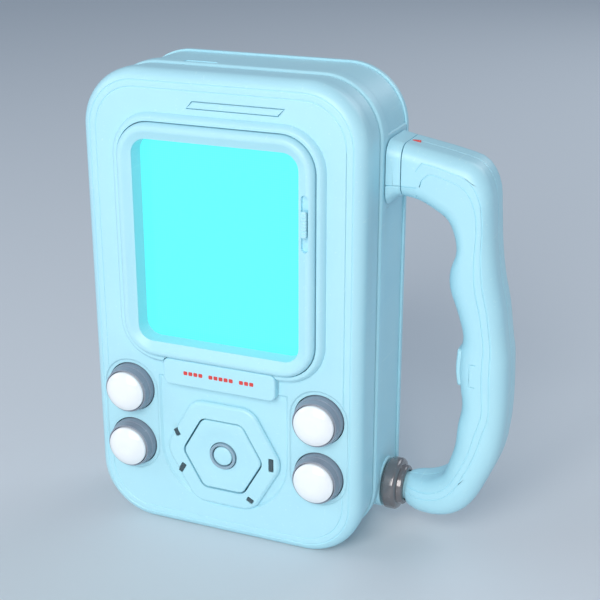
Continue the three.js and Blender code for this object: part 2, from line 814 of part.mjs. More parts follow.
// Boards
function mainBoard() {
  const notches = postPlaces().map(([x, z]) => (
    rod(postRadius + gap, boardFace - 1, boardFace + boardThick + 1, x, z)
  ));
  return cut(plate(caseOutline(flank + wall + 1), boardFace, boardFace + boardThick), ...notches);
}

function processorShield() {
  const face = boardFace + boardThick + gap;
  const middle = windowMiddle + 8;
  return crowned([
    [roundedRect(-24, 12, middle - 16, middle + 16, 1.2), face],
    [roundedRect(-24, 12, middle - 16, middle + 16, 1.2), face + 2.6],
    [roundedRect(-23.4, 11.4, middle - 15.4, middle + 15.4, 1), face + 3.2],
  ], 2);
}

// Grip pieces
function gripHalf(front) {
  const split = gripY + (front ? -gap / 2 : gap / 2);
  const far = caseSide + 60;
  const keep = front
    ? block(caseSide, far, gripY - 20, split, 0, caseHeight)
    : block(caseSide, far, split, gripY + 20, 0, caseHeight);
  const shell = cut(gripBody(0), gripBody(gripWall, 22, 12)).intersect(keep);
  const outside = gripBody(0);
  const bosses = gripScrewPlaces().map(([x, z]) => (
    rod(3.2, gripY - 20, gripY + 20, x, z).intersect(outside).intersect(keep)
  ));
  const bores = gripScrewPlaces().map(([x, z]) => (
    rod(screwRadius + gap, gripY - 5, gripY + 20, x, z)
  ));
  const heads = gripScrewPlaces().map(([x, z]) => (
    rod(screwHeadRadius + running, gripScrewTop() - screwHeadHeight - gap, gripY + 20, x, z)
  ));
  return cut(joined(shell, ...bosses), ...bores, ...heads, triggerSlot(), armLamp(gap));
}

function gripScrewTop() {
  return gripY + gripDepth / 2 - 1;
}

function gripScrew(x, z) {
  const top = gripScrewTop();
  return turned([
    [0, gripY - 4.5],
    [screwRadius, gripY - 4.5],
    [screwRadius, top - screwHeadHeight],
    [screwHeadRadius, top - screwHeadHeight],
    [screwHeadRadius, top],
    [0, top],
  ], x, z, 10);
}

// Small red lamp let into the top of the arm
function armLamp(grow) {
  const x = caseSide + 7.6;
  const y = gripY - 1.5;
  const z = armZ + 6.6;
  return block(x - 1.5 - grow, x + 1.5 + grow, y - 0.5 - grow, y + 0.5 + grow, z - grow, z + 1.2 + grow);
}

function rootBlock() {
  const section = (x, top, bottom, depth) => {
    const points = [];
    const half = (top - bottom) / 2;
    const middle = armZ + (top + bottom) / 2;
    for (let step = 0; step < 24; step += 1) {
      const angle = step / 24 * 2 * Math.PI;
      const round = (value) => Math.sign(value) * Math.sqrt(Math.abs(value));
      points.push(new THREE.Vector3(
        x, gripY + depth * round(Math.cos(angle)), middle + half * round(Math.sin(angle)),
      ));
    }
    return points;
  };
  const nearX = caseSide + gap;
  const farX = caseSide + upperSections[0].outer[0] - gap;
  return solidOf(new ConvexGeometry([
    ...section(nearX, rootRise, -rootFall, gripDepth / 2 + rootMargin),
    ...section(farX, upperSections[0].outer[1], upperSections[0].inner[1], gripDepth / 2),
  ]));
}

function gripTrigger() {
  const y = triggerWidth / 2;
  const z = triggerHeight / 2;
  return block(caseSide + gripNear, triggerBackX, gripY - y, gripY + y, triggerZ - z, triggerZ + z)
    .intersect(gripBody(-triggerStand));
}

function triggerSwitch() {
  const face = triggerBackX + triggerTravel + gap;
  return joined(
    block(face + 1, face + 4.4, gripY - 3, gripY + 3, triggerZ - 5, triggerZ + 5),
    block(face, face + 1.2, gripY - 1.2, gripY + 1.2, triggerZ - 1.2, triggerZ + 1.2),
  );
}

function lockingCollar() {
  const start = caseSide + gap;
  const bore = studRadius + running;
  const end = start + collarLength;
  return turnedAlongX([
    [bore, start],
    [collarRadius - 1.2, start],
    [collarRadius - 0.3, start + 0.7],
    [collarRadius, start + 1.6],
    [collarRadius, start + 4],
    [collarRadius - 0.4, start + 5],
    [collarRadius - 1.2, start + 5.6],
    [collarRadius - 2.2, start + 5.6],
    [collarRadius - 2.2, end - 0.5],
    [collarRadius - 2.7, end],
    [bore, end],
    [bore, start],
  ], gripY, gripFootHeight, 24);
}

function collarStud() {
  const start = caseSide + gap;
  return turnedAlongX(
    [
      [0, start],
      [studRadius, start],
      [studRadius, start + 3.4],
      [studRadius - 0.7, start + 4],
      [0, start + 4],
    ],
    gripY, gripFootHeight,
  );
}

// Assembly
addPiece('front_shell', frontShell(), paleBlue);
addPiece('rear_shell', rearShell(), paleBlue);
addPiece('shell_gasket', sealRing(), sealDark);
addPiece('back_cover', backCover(), paleBlue);
addPiece('battery_door', batteryDoor(), paleBlue);
addPiece('door_lock', doorLock(), steel);
addPiece('battery_tray', batteryTray(), darkPlastic);
addPiece('battery_pack', batteryPack(), darkPlastic);
addPiece('speaker', speakerUnit(), darkPlastic);
postPlaces().forEach(([x, z], i) => addPiece(`case_screw_${i + 1}`, caseScrew(x, z), steel));

addPiece('screen_bezel', screenBezel(), paleBlue);
addPiece('bezel_slider', bezelSlider(), paleBlue);
addPiece('screen_lens', screenLens(), screenCyan);
addPiece('display_panel', displayPanel(), screenCyan);
addPiece('backlight_plate', backlightPlate(), clearWhite);
addPiece('nameplate', nameplate(), paleBlue);
addPiece('badge_strip', badgeStrip(), paleBlue);

buttonPlaces().forEach(([x, z], i) => {
  addPiece(`button_cap_${i + 1}`, buttonCap(x, z), clearWhite);
  addPiece(`button_collar_${i + 1}`, buttonCollar(x, z), collarGrey);
  addPiece(`button_switch_${i + 1}`, switchBlock(x, z), darkPlastic);
});

addPiece('nav_ring', navRing(), paleBlue);
addPiece('nav_pad', navPad(), paleBlue);
addPiece('nav_mat', navMat(), sealDark);
addPiece('nav_switch', switchBlock(0, padCentreZ), darkPlastic);
addPiece('centre_ring', centreRing(), collarGrey);
addPiece('centre_button', centreButton(), paleBlue);
lampPlaces().forEach((lamp, i) => addPiece(`nav_lamp_${i + 1}`, lampBlock(lamp, 0), sealDark));

addPiece('main_board', mainBoard(), boardGreen);
addPiece('processor_shield', processorShield(), steel);

addPiece('grip_root_block', rootBlock(), paleBlue);
addPiece('grip_front_half', gripHalf(true), paleBlue);
addPiece('grip_rear_half', gripHalf(false), paleBlue);
gripScrewPlaces().forEach(([x, z], i) => addPiece(`grip_screw_${i + 1}`, gripScrew(x, z), steel));
addPiece('grip_trigger', gripTrigger(), paleBlue);
addPiece('trigger_switch', triggerSwitch(), darkPlastic);
addPiece('arm_lamp', armLamp(0), signalRed);
addPiece('locking_collar', lockingCollar(), nutGrey);
addPiece('collar_stud', collarStud(), steel);

export default group;
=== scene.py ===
import math

import bmesh
import bpy
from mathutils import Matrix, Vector


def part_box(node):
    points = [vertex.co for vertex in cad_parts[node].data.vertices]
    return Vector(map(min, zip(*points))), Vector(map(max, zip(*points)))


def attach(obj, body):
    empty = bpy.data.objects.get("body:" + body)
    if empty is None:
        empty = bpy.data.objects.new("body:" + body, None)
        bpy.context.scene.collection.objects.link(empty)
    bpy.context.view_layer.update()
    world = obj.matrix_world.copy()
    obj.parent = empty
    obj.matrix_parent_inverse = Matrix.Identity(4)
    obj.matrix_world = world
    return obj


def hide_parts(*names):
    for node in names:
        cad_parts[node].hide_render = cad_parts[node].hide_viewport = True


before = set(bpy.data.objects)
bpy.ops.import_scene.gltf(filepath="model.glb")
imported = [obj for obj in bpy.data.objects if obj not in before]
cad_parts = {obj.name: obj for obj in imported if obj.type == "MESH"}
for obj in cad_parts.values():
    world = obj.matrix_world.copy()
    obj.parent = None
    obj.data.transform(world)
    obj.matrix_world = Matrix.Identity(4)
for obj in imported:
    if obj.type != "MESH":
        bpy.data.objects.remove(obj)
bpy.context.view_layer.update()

# Camera, light and floor. The camera stands to the right of the screen and looks down at it a little.
# The light is a large soft panel in front, a weaker one on the left and pale walls all round.
camera_place = Vector((0.18049, -0.38307, 0.24148))
camera_aim = Vector((0.03048, -0.0246, 0.09687))
bpy.ops.object.select_all(action="DESELECT")
bpy.ops.object.camera_add(
    location=camera_place, rotation=(camera_aim - camera_place).to_track_quat("-Z", "Y").to_euler()
)
camera = bpy.context.object
camera.data.sensor_width = 36
camera.data.lens = 75.74
camera.data.clip_start = 0.01
bpy.context.scene.camera = camera
bpy.context.scene.view_settings.view_transform = "Standard"


def add_panel_light(name, place, size, watts, colour):
    aim = Vector((0.01, 0, 0.08)) - Vector(place)
    bpy.ops.object.light_add(type="AREA", location=place, rotation=aim.to_track_quat("-Z", "Y").to_euler())
    light = bpy.context.object
    light.name = name
    light.data.size = size
    light.data.energy = watts
    light.data.color = colour


add_panel_light("front_panel_light", (0.15, -1.3, 0.75), 0.9, 15, (1.0, 0.98, 0.95))
add_panel_light("left_panel_light", (-1.1, -0.5, 0.6), 0.7, 2.7, (0.86, 0.93, 1.0))
add_panel_light("back_panel_light", (0.6, 1.1, 0.9), 0.8, 4.6, (0.9, 0.95, 1.0))

walls = bpy.data.worlds.new("pale_walls")
bpy.context.scene.world = walls
walls.use_nodes = True
walls.node_tree.nodes["Background"].inputs["Color"].default_value = (0.62, 0.76, 0.95, 1)
walls.node_tree.nodes["Background"].inputs["Strength"].default_value = 0.38

bpy.ops.object.select_all(action="DESELECT")
bpy.ops.mesh.primitive_plane_add(size=12)
floor = bpy.context.object
floor.name = "floor"
floor_paint = bpy.data.materials.new("floor_paint")
floor_paint.use_nodes = True
floor_shader = floor_paint.node_tree.nodes["Principled BSDF"]
floor_shader.inputs["Base Color"].default_value = (0.74, 0.77, 0.8, 1)
floor_shader.inputs["Roughness"].default_value = 0.7
floor.data.materials.append(floor_paint)

# Front shell: the moulded front half of the case, pale ice-blue plastic with a fine spark grain.
# One shot from a steel tool: rounded front edge, two scribed lines round the panel, a raised border
# for the screen's bezel, shallow beds for the keys and the rocker, and the holes behind them.
MM = 0.001


def corners_of(node):
    low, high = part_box(node)
    return low / MM, high / MM


def object_mode():
    if bpy.context.mode != "OBJECT":
        bpy.ops.object.mode_set(mode="OBJECT")


def begin():
    """Puts a fresh primitive's place into its mesh and opens it for editing."""
    bpy.ops.object.transform_apply(location=True, rotation=True, scale=True)
    bpy.ops.object.mode_set(mode="EDIT")
    return bpy.context.object


def block(x, y, z):
    object_mode()
    bpy.ops.object.select_all(action="DESELECT")
    bpy.ops.mesh.primitive_cube_add(
        size=1,
        location=[(low + high) / 2 * MM for low, high in (x, y, z)],
        scale=[(high - low) * MM for low, high in (x, y, z)],
    )
    return begin()


AXIS_TURN = {0: (0, math.pi / 2, 0), 1: (math.pi / 2, 0, 0), 2: (0, 0, 0)}


def cylinder(radius, axis, reach, centre, sides=64, turn=0.0):
    """A cylinder along an axis from reach[0] to reach[1], centred on the other two coordinates."""
    object_mode()
    bpy.ops.object.select_all(action="DESELECT")
    place = list(centre)
    place.insert(axis, sum(reach) / 2)
    rotation = list(AXIS_TURN[axis])
    rotation[axis] += turn
    bpy.ops.mesh.primitive_cylinder_add(
        vertices=sides,
        radius=radius * MM,
        depth=(reach[1] - reach[0]) * MM,
        location=[value * MM for value in place],
        rotation=rotation,
    )
    return begin()


def pick(kind, test):
    bpy.ops.mesh.select_mode(type={"edges": "EDGE", "faces": "FACE", "verts": "VERT"}[kind])
    bpy.ops.mesh.select_all(action="DESELECT")
    shape = bmesh.from_edit_mesh(bpy.context.object.data)
    for item in getattr(shape, kind):
        if test(item):
            item.select_set(True)
    bmesh.update_edit_mesh(bpy.context.object.data)


def along(edge, axis):
    return abs(edge.verts[0].co[axis] - edge.verts[1].co[axis]) > 0.99 * edge.calc_length()


def slab(x, y, z, corner, turns=12, axis=1):
    """A block whose four edges along one axis are rounded."""
    piece = block(x, y, z)
    pick("edges", lambda edge: along(edge, axis))
    bpy.ops.mesh.bevel(offset=corner * MM, segments=turns, affect="EDGES")
    return piece


def step(direction, *steps):
    """Insets the face on one side again and again; each step is a (width, rise) pair."""
    aim = Vector(direction)
    pick("faces", lambda face: face.normal.dot(aim) > 0.999)
    for width, rise in steps:
        bpy.ops.mesh.inset(thickness=width * MM, depth=rise * MM)
    return bpy.context.object


def arc(radius, start=0, stop=90, count=5, height=None):
    """Steps that follow a round edge, from the side at 0 degrees to the face at 90."""
    height = radius if height is None else height
    turns = [math.radians(start + (stop - start) * i / count) for i in range(count + 1)]
    return [
        (radius * (math.cos(a) - math.cos(b)), height * (math.sin(b) - math.sin(a)))
        for a, b in zip(turns, turns[1:])
    ]


def combine(piece, operation, *tools):
    object_mode()
    for tool in tools:
        modifier = piece.modifiers.new(operation, "BOOLEAN")
        modifier.operation = operation
        modifier.solver = "EXACT"
        modifier.object = tool
        bpy.context.view_layer.objects.active = piece
        bpy.ops.object.modifier_apply(modifier=modifier.name)
        bpy.data.objects.remove(tool)
    return piece


def soften(piece, width, segments=2, limit=40):
    """Rounds every sharp edge a little, as a tool's edges are."""
    object_mode()
    bpy.context.view_layer.objects.active = piece
    modifier = piece.modifiers.new("soft edges", "BEVEL")
    modifier.width = width * MM
    modifier.segments = segments
    modifier.limit_method = "ANGLE"
    modifier.angle_limit = math.radians(limit)
    modifier.use_clamp_overlap = False
    bpy.ops.object.modifier_apply(modifier=modifier.name)
    return piece


def mount(piece, name, body, slot, material, *nodes, angle=32):
    """Smooths a finished piece, names it, paints it and fixes it to its body."""
    object_mode()
    bpy.ops.object.select_all(action="DESELECT")
    bpy.context.view_layer.objects.active = piece
    piece.select_set(True)
    bpy.ops.object.shade_smooth_by_angle(angle=math.radians(angle))
    modifier = piece.modifiers.new("flat faces stay flat", "WEIGHTED_NORMAL")
    modifier.keep_sharp = True
    bpy.ops.object.modifier_apply(modifier=modifier.name)
    piece.name = name
    piece.data.name = name
    piece.data.materials.clear()
    piece.data.materials.append(material)
    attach(piece, body)
    if nodes:
        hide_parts(*nodes)
    return piece


def add_socket(group, name, way, kind="NodeSocketFloat", value=None):
    socket = group.interface.new_socket(name=name, in_out=way, socket_type=kind)
    if value is not None:
        socket.default_value = value


def build_moulded_surface():
    """Grain, cloudiness and hairline scratches of a moulded surface, as values from 0 to 1."""
    group = bpy.data.node_groups.new("moulded_surface", "ShaderNodeTree")
    add_socket(group, "Grain Scale", "INPUT", value=2600)
    add_socket(group, "Cloud Scale", "INPUT", value=28)
    for name in ("Grain", "Cloud", "Scratch", "Speck"):
        add_socket(group, name, "OUTPUT")
    nodes, links = group.nodes, group.links
    entry = nodes.new("NodeGroupInput")
    leave = nodes.new("NodeGroupOutput")
    place = nodes.new("ShaderNodeTexCoord")
    grain = nodes.new("ShaderNodeTexNoise")
    grain.inputs["Detail"].default_value = 3
    links.new(entry.outputs["Grain Scale"], grain.inputs["Scale"])
    cloud = nodes.new("ShaderNodeTexNoise")
    cloud.inputs["Detail"].default_value = 5
    cloud.inputs["Roughness"].default_value = 0.6
    links.new(entry.outputs["Cloud Scale"], cloud.inputs["Scale"])
    stretch = nodes.new("ShaderNodeMapping")
    stretch.inputs["Rotation"].default_value = (0.3, 0.5, 0.4)
    stretch.inputs["Scale"].default_value = (900, 40, 900)
    scratch = nodes.new("ShaderNodeTexNoise")
    scratch.inputs["Scale"].default_value = 1
    scratch.inputs["Detail"].default_value = 2
    fine_line = nodes.new("ShaderNodeMapRange")
    fine_line.inputs["From Min"].default_value = 0.66
    fine_line.inputs["From Max"].default_value = 0.74
    speck = nodes.new("ShaderNodeTexVoronoi")
    speck.inputs["Scale"].default_value = 260
    small = nodes.new("ShaderNodeMapRange")
    small.inputs["From Min"].default_value = 0.12
    small.inputs["From Max"].default_value = 0.05
    for texture in (grain, cloud, speck):
        links.new(place.outputs["Object"], texture.inputs["Vector"])
    links.new(place.outputs["Object"], stretch.inputs["Vector"])
    links.new(stretch.outputs["Vector"], scratch.inputs["Vector"])
    links.new(scratch.outputs["Fac"], fine_line.inputs["Value"])
    links.new(speck.outputs["Distance"], small.inputs["Value"])
    links.new(grain.outputs["Fac"], leave.inputs["Grain"])
    links.new(cloud.outputs["Fac"], leave.inputs["Cloud"])
    links.new(fine_line.outputs["Result"], leave.inputs["Scratch"])
    links.new(small.outputs["Result"], leave.inputs["Speck"])
    return group


moulded_surface = build_moulded_surface()


def map_values(tree, source, low, high, from_low=0.3, from_high=0.7):
    node = tree.nodes.new("ShaderNodeMapRange")
    node.inputs["From Min"].default_value = from_low
    node.inputs["From Max"].default_value = from_high
    node.inputs["To Min"].default_value = low
    node.inputs["To Max"].default_value = high
    tree.links.new(source, node.inputs["Value"])
    return node.outputs["Result"]


def mix_colours(tree, factor, first, second):
    node = tree.nodes.new("ShaderNodeMix")
    node.data_type = "RGBA"
    tree.links.new(factor, node.inputs[0])
    for socket, value in ((node.inputs[6], first), (node.inputs[7], second)):
        if isinstance(value, bpy.types.NodeSocket):
            tree.links.new(value, socket)
        else:
            socket.default_value = (*value, 1)
    return node.outputs[2]


def finish_surface(
    name, colour, cloudy, scratched, rough, grain=0.12, scale=2600, metal=0, coat=0, depth=0.04
):
    """A painted, moulded or plated finish. cloudy and scratched are the colours it drifts to."""
    material = bpy.data.materials.new(name)
    material.use_nodes = True
    tree = material.node_tree
    shader = tree.nodes["Principled BSDF"]
    surface = tree.nodes.new("ShaderNodeGroup")
    surface.node_tree = moulded_surface
    surface.inputs["Grain Scale"].default_value = scale
    drift = map_values(tree, surface.outputs["Cloud"], 0, 1)
    base = mix_colours(tree, drift, colour, cloudy)
    line = map_values(tree, surface.outputs["Scratch"], 0, 0.5, 0, 1)
    base = mix_colours(tree, line, base, scratched)
    tree.links.new(base, shader.inputs["Base Color"])
    tree.links.new(map_values(tree, surface.outputs["Cloud"], rough - 0.05, rough + 0.07),
                   shader.inputs["Roughness"])
    shader.inputs["Metallic"].default_value = metal
    shader.inputs["Coat Weight"].default_value = coat
    shader.inputs["Coat Roughness"].default_value = 0.1
    bump = tree.nodes.new("ShaderNodeBump")
    bump.inputs["Strength"].default_value = grain
    bump.inputs["Distance"].default_value = depth * MM
    tree.links.new(surface.outputs["Grain"], bump.inputs["Height"])
    tree.links.new(bump.outputs["Normal"], shader.inputs["Normal"])
    return material


ice_blue = finish_surface(
    "ice_blue_plastic", (0.50, 0.84, 0.93), (0.47, 0.81, 0.92), (0.60, 0.90, 0.96), 0.36, grain=0.25
)

front_low, front_high = corners_of("front_shell")
lens_low, lens_high = corners_of("screen_lens")
ring_low, ring_high = corners_of("nav_ring")
plate_low, plate_high = corners_of("nameplate")
badge_low, badge_high = corners_of("badge_strip")
half = front_high.x
top = front_high.z
case_corner = 21
border_rise = 2.3
panel_y = front_low.y + border_rise
split_y = front_high.y
edge_round = 5
flank = 0.7
wall = 2.4
groove = [(0.2, -0.34), (0.2, 0.34)]
lens_overlap = 4
clearance = 0.3
past = 1  # how far a cutter reaches beyond what it cuts
border_band = 8.5
border_corner = 15
pod_radius = 10.9
bowl_half_width = 25.2
bowl_bottom = 11.7
bowl_corner = 22.2
seat_radius = 9.2
spigot_apothem = 18
spigot_corner = 5
bezel_band = 5.6
bezel_corner = 12.2
skirt_band = 2.3
skirt_corner = 7.3
case_softness = 0.16


def case_slab(inset, y, turns=16):
    return slab((-half + inset, half - inset), y, (inset, top - inset), case_corner - inset, turns)


def window_slab(grow, y, corner, turns=10):
    x = lens_high.x - lens_overlap + grow
    z = (lens_low.z + lens_overlap - grow, lens_high.z - lens_overlap + grow)
    return slab((-x, x), y, z, corner, turns)


def rounded_hex(apothem, corner, y, turns=6):
    centre = ((ring_low.x + ring_high.x) / 2, (ring_low.z + ring_high.z) / 2)
    piece = cylinder(apothem / math.cos(math.pi / 6), 1, y, centre, sides=6, turn=math.pi / 6)
    pick("edges", lambda edge: along(edge, 1))
    bpy.ops.mesh.bevel(offset=corner * math.tan(math.pi / 6) * MM, segments=turns, affect="EDGES")
    return piece


def middle_of(node):
    low, high = corners_of(node)
    return (low.x + high.x) / 2, (low.z + high.z) / 2


front = case_slab(0, (panel_y + edge_round, panel_y + 8))
step((0, 1, 0), (0.35, 0.25), (0.35, 0.75), (0, split_y - panel_y - 9))
step(
    (0, -1, 0),
    *arc(edge_round, 0, 72, 6), *groove, *arc(edge_round, 78, 90, 2), (0.9, 0), *groove,
)
border = window_slab(border_band, (panel_y, panel_y + 1), border_corner)
step((0, -1, 0), (0.15, 0.5), (0.25, 0.6), (0.45, 0.65), (0.5, 0.4), (0.4, 0.15))
combine(front, "UNION", border)
pods = []
for side in (-1, 1):
    rows = [middle_of(f"button_cap_{i}") for i in (1, 2, 3, 4)]
    rows = [place for place in rows if place[0] * side > 0]
    x = rows[0][0]
    levels = [z for _, z in rows]
    pods.append(slab(
        (x - pod_radius, x + pod_radius), (panel_y - 2, panel_y),
        (min(levels) - pod_radius, max(levels) + pod_radius), pod_radius - 0.1, 14,
    ))
    step((0, 1, 0), (0.1, 0.12), (0.5, 0.48))
bowl = block((-bowl_half_width, bowl_half_width), (panel_y - 2, panel_y), (bowl_bottom, plate_low.z + 2))
pick("edges", lambda edge: along(edge, 1) and edge.verts[0].co.z < 0.02)
bpy.ops.mesh.bevel(offset=bowl_corner * MM, segments=16, affect="EDGES")
step((0, 1, 0), (0.2, 0.15), (0.8, 0.85))
through = (panel_y - 3, panel_y + 5)
key_holes = [cylinder(seat_radius, 1, through, middle_of(f"button_cap_{i}")) for i in (1, 2, 3, 4)]
ring_hole = rounded_hex(spigot_apothem + clearance, spigot_corner, through)
seat = window_slab(bezel_band + clearance, (panel_y - 4, panel_y), bezel_corner + clearance)
opening = window_slab(skirt_band + clearance, (panel_y - 4, panel_y + 5), skirt_corner + clearance)
plate_seat = slab(
    (plate_low.x - clearance, plate_high.x + clearance), (panel_y - 4, panel_y + 0.2),
    (plate_low.z - clearance, plate_high.z + clearance), 2.7, 6,
)
badge_slant = 2.2


def leaning_slab(grow, y):
    """The badge's outline: its upper edge is set to the right of the lower one."""
    piece = block(
        (badge_low.x - grow, badge_high.x - badge_slant + grow), y, (badge_low.z - grow, badge_high.z + grow)
    )
    middle = (badge_low.z + badge_high.z) / 2 * MM
    pick("verts", lambda vert: vert.co.z > middle)
    bpy.ops.transform.translate(value=(badge_slant * MM, 0, 0))
    return piece


badge_seat = leaning_slab(clearance, (panel_y - 2, badge_high.y + clearance))
hollow = case_slab(flank + wall, (panel_y + wall, split_y + past))
combine(
    front, "DIFFERENCE", seat, opening, *pods, bowl, *key_holes, ring_hole, plate_seat, badge_seat, hollow
)
soften(front, case_softness)
mount(front, "front_shell_moulding", "case", "case_plastic", ice_blue, "front_shell")

# Rear shell: the other half of the case, moulded in the same plastic, with a rounded ridge along the
# parting line and a shallow label recess in its top. A flat pad on its right side takes the grip's root,
# a round boss stands behind the locking collar, and a flat land below is what the case stands on.
rear_low, rear_high = corners_of("rear_shell")
root_low, root_high = corners_of("grip_root_block")
nut_low, nut_high = corners_of("locking_collar")
ridge_length = 5.8
rear = case_slab(0, (rear_low.y + 1, rear_low.y + ridge_length - 1))
step((0, -1, 0), (0.15, 0.45), (0.2, 0.3), (0.35, 0.25))
step((0, 1, 0), (0.1, 0.4), (0.2, 0.35), (0.4, 0.25), (0, rear_high.y - rear_low.y - ridge_length))
combine(rear, "DIFFERENCE", case_slab(flank + wall, (rear_low.y - past, rear_high.y + past)))
soften(rear, case_softness)
pad_margin = 1.6
root_pad = block(
    (half - 3, half - 1), (root_low.y - 1.2, rear_high.y), (root_low.z - pad_margin, root_high.z + pad_margin)
)
step((1, 0, 0), (0.1, 0.5), (0.25, 0.35), (0.5, 0.15))
nut_y = (nut_low.y + nut_high.y) / 2
foot_z = (nut_low.z + nut_high.z) / 2
foot_pad_radius = 9.2
foot_pad = cylinder(foot_pad_radius, 0, (half - 3, half - 0.6), (nut_y, foot_z))
step((1, 0, 0), (0.15, 0.4), (0.3, 0.2))
land_half_width = 24
land = block((-land_half_width, land_half_width), (rear_low.y + 1, rear_high.y), (0, wall))
combine(rear, "UNION", root_pad, foot_pad, land)
label_recess = slab(
    (-21, -9), (rear_low.y + 0.9, rear_low.y + 3.6), (top - 0.25, top + past), 0.5, 3, axis=2
)
combine(rear, "DIFFERENCE", label_recess)
mount(rear, "rear_shell_moulding", "case", "case_plastic", ice_blue, "rear_shell")

# Gasket: a thin moulded ring of dark rubber that keeps dust and rain out of the case.
# It is squeezed between the two shells, and only its edge is seen, as a dark line in the parting line.
seal_low, seal_high = corners_of("shell_gasket")
dark_rubber = finish_surface(
    "dark_seal_rubber", (0.05, 0.065, 0.08), (0.07, 0.085, 0.1), (0.12, 0.14, 0.16), 0.7, scale=3500
)
gasket = case_slab(half - seal_high.x, (seal_low.y, seal_high.y))
combine(gasket, "DIFFERENCE", case_slab(flank + wall, (seal_low.y - past, seal_high.y + past)))
mount(gasket, "shell_gasket_ring", "case", "seal_rubber", dark_rubber, "shell_gasket")

# Back cover: a flat moulded lid in the same plastic, with a rounded rim and a scribed line inside it.
# It is held by six screws in counterbores, and has the battery door's opening, grooves for the hinge
# pin's ends and five slots over the speaker.
cover_low, cover_high = corners_of("back_cover")
door_low, door_high = corners_of("battery_door")
speaker_z = middle_of("speaker")[1]
speaker_reach = 9.5
slot_pitch = 4
slot_half = 0.9
door_side = 28.5
door_gap = 0.5
barrel_radius = 1.2
pin_radius = 0.8
bore_radius = 1.65
counterbore_radius = 2.8
counterbore_depth = 1.7
cover_span = (cover_low.y - past, cover_high.y + past)
cover = case_slab(0, (cover_low.y, cover_high.y - 1.4))
step((0, 1, 0), *arc(1.4, 0, 80, 4), (0.12, 0.02), (2.6, 0), *groove)
door_hole = slab((-door_side, door_side), cover_span, (door_low.z - door_gap, door_high.z + door_gap), 1.6, 5)
hinge_y = (cover_low.y + cover_high.y) / 2
hinge_z = door_low.z + barrel_radius
knuckle = cylinder(pin_radius + clearance, 0, (-door_side - 2.2, door_side + 2.2), (hinge_y, hinge_z), 24)
slots = []
for row in (-2, -1, 0, 1, 2):
    reach = math.sqrt(speaker_reach ** 2 - (row * slot_pitch) ** 2)
    z = speaker_z + row * slot_pitch
    slots.append(slab((-reach, reach), cover_span, (z - slot_half, z + slot_half), 0.85, 5))
screw_names = [f"case_screw_{i}" for i in range(1, 7)]
bores = [cylinder(bore_radius, 1, cover_span, middle_of(name), 32) for name in screw_names]
head_span = (cover_high.y - counterbore_depth, cover_high.y + past)
heads = [cylinder(counterbore_radius, 1, head_span, middle_of(name), 48) for name in screw_names]
combine(cover, "DIFFERENCE", door_hole, knuckle, *slots, *bores, *heads)
soften(cover, 0.15)
mount(cover, "back_cover_moulding", "case", "case_plastic", ice_blue, "back_cover")

# Battery door: a moulded plate in the same plastic, on a hinge pin along its lower edge and held shut
# by the coin lock at its top. Three thumb grooves lie under the lock, and under them a shallow field.
lock_low, lock_high = corners_of("door_lock")
lock_x, lock_z = middle_of("door_lock")
lock_seat_radius = 6.4
groove_pitch = 3.2
groove_half = 0.8
door_face = hinge_y + 1.2
pin_end = 2.3
door = slab(
    (door_low.x + pin_end, door_high.x - pin_end), (hinge_y - 1.2, door_face - 0.3), (hinge_z, door_high.z),
    1.2, 4,
)
step((0, 1, 0), *arc(0.3, 0, 90, 3))
barrel = cylinder(barrel_radius, 0, (-door_side + door_gap, door_side - door_gap), (hinge_y, hinge_z), 32)
pin = cylinder(pin_radius, 0, (door_low.x, door_high.x), (hinge_y, hinge_z), 24)
combine(door, "UNION", barrel, pin)
lock_seat = cylinder(lock_seat_radius, 1, (hinge_y + 0.3, cover_high.y + past), (lock_x, lock_z), 64)
lock_bore = cylinder(2.9, 1, (cover_low.y - past, cover_high.y), (lock_x, lock_z), 48)
thumb = []
for row in (0, 1, 2):
    z = lock_z - 12 - groove_pitch * row
    thumb.append(slab(
        (-11, 11), (hinge_y + 0.65, cover_high.y + past), (z - groove_half, z + groove_half), 0.75, 5
    ))
field = slab((-23.5, 23.5), (door_face - 0.3, cover_high.y + past), (hinge_z + 6, lock_z - 27), 2, 6)
combine(door, "DIFFERENCE", lock_seat, lock_bore, *thumb, field)
soften(door, 0.14)
mount(door, "battery_door_moulding", "door", "case_plastic", ice_blue, "battery_door")

# Door lock: a turned and plated steel disc with a coin slot and a fine ring round it.
# It turns a quarter on a short shank that goes through the door.
plated_steel = finish_surface(
    "plated_steel", (0.62, 0.64, 0.67), (0.56, 0.58, 0.62), (0.8, 0.82, 0.85), 0.28,
    metal=1, grain=0.1, scale=4200,
)
lock = cylinder(6, 1, (hinge_y + 0.6, lock_high.y - 0.35), (lock_x, lock_z))
step((0, 1, 0), *arc(0.35, 0, 90, 3), (0.9, 0), (0.1, -0.12), (0.12, 0), (0.1, 0.12))
shank = cylinder(2.5, 1, (lock_low.y, hinge_y + 1), (lock_x, lock_z), 32)
combine(lock, "UNION", shank)
coin_slot = slab(
    (-4.6, 4.6), (hinge_y + 0.9, cover_high.y + past), (lock_z - 0.7, lock_z + 0.7), 0.65, 5
)
combine(lock, "DIFFERENCE", coin_slot)
soften(lock, 0.06)
mount(lock, "door_lock_turning", "lock", "steel", plated_steel, "door_lock")


# Case screws and grip screws: plated steel pan heads with a cross recess, on plain shanks.
# Six long ones hold the case together and three short ones the grip. One of each kind is made here,
# and the others are copies of it.
def copy_piece(piece, start, goal):
    """A copy with its own mesh, moved in X and Z from one place to another."""
    object_mode()
    bpy.ops.object.select_all(action="DESELECT")
    bpy.context.view_layer.objects.active = piece
    piece.select_set(True)
    bpy.ops.object.duplicate(linked=False)
    bpy.ops.transform.translate(value=((goal[0] - start[0]) * MM, 0, (goal[1] - start[1]) * MM))
    bpy.ops.object.transform_apply(location=True)
    return bpy.context.object


head_radius = 2.4
shank_radius = 1.25
cross_reach = 1.3
cross_half = 0.28


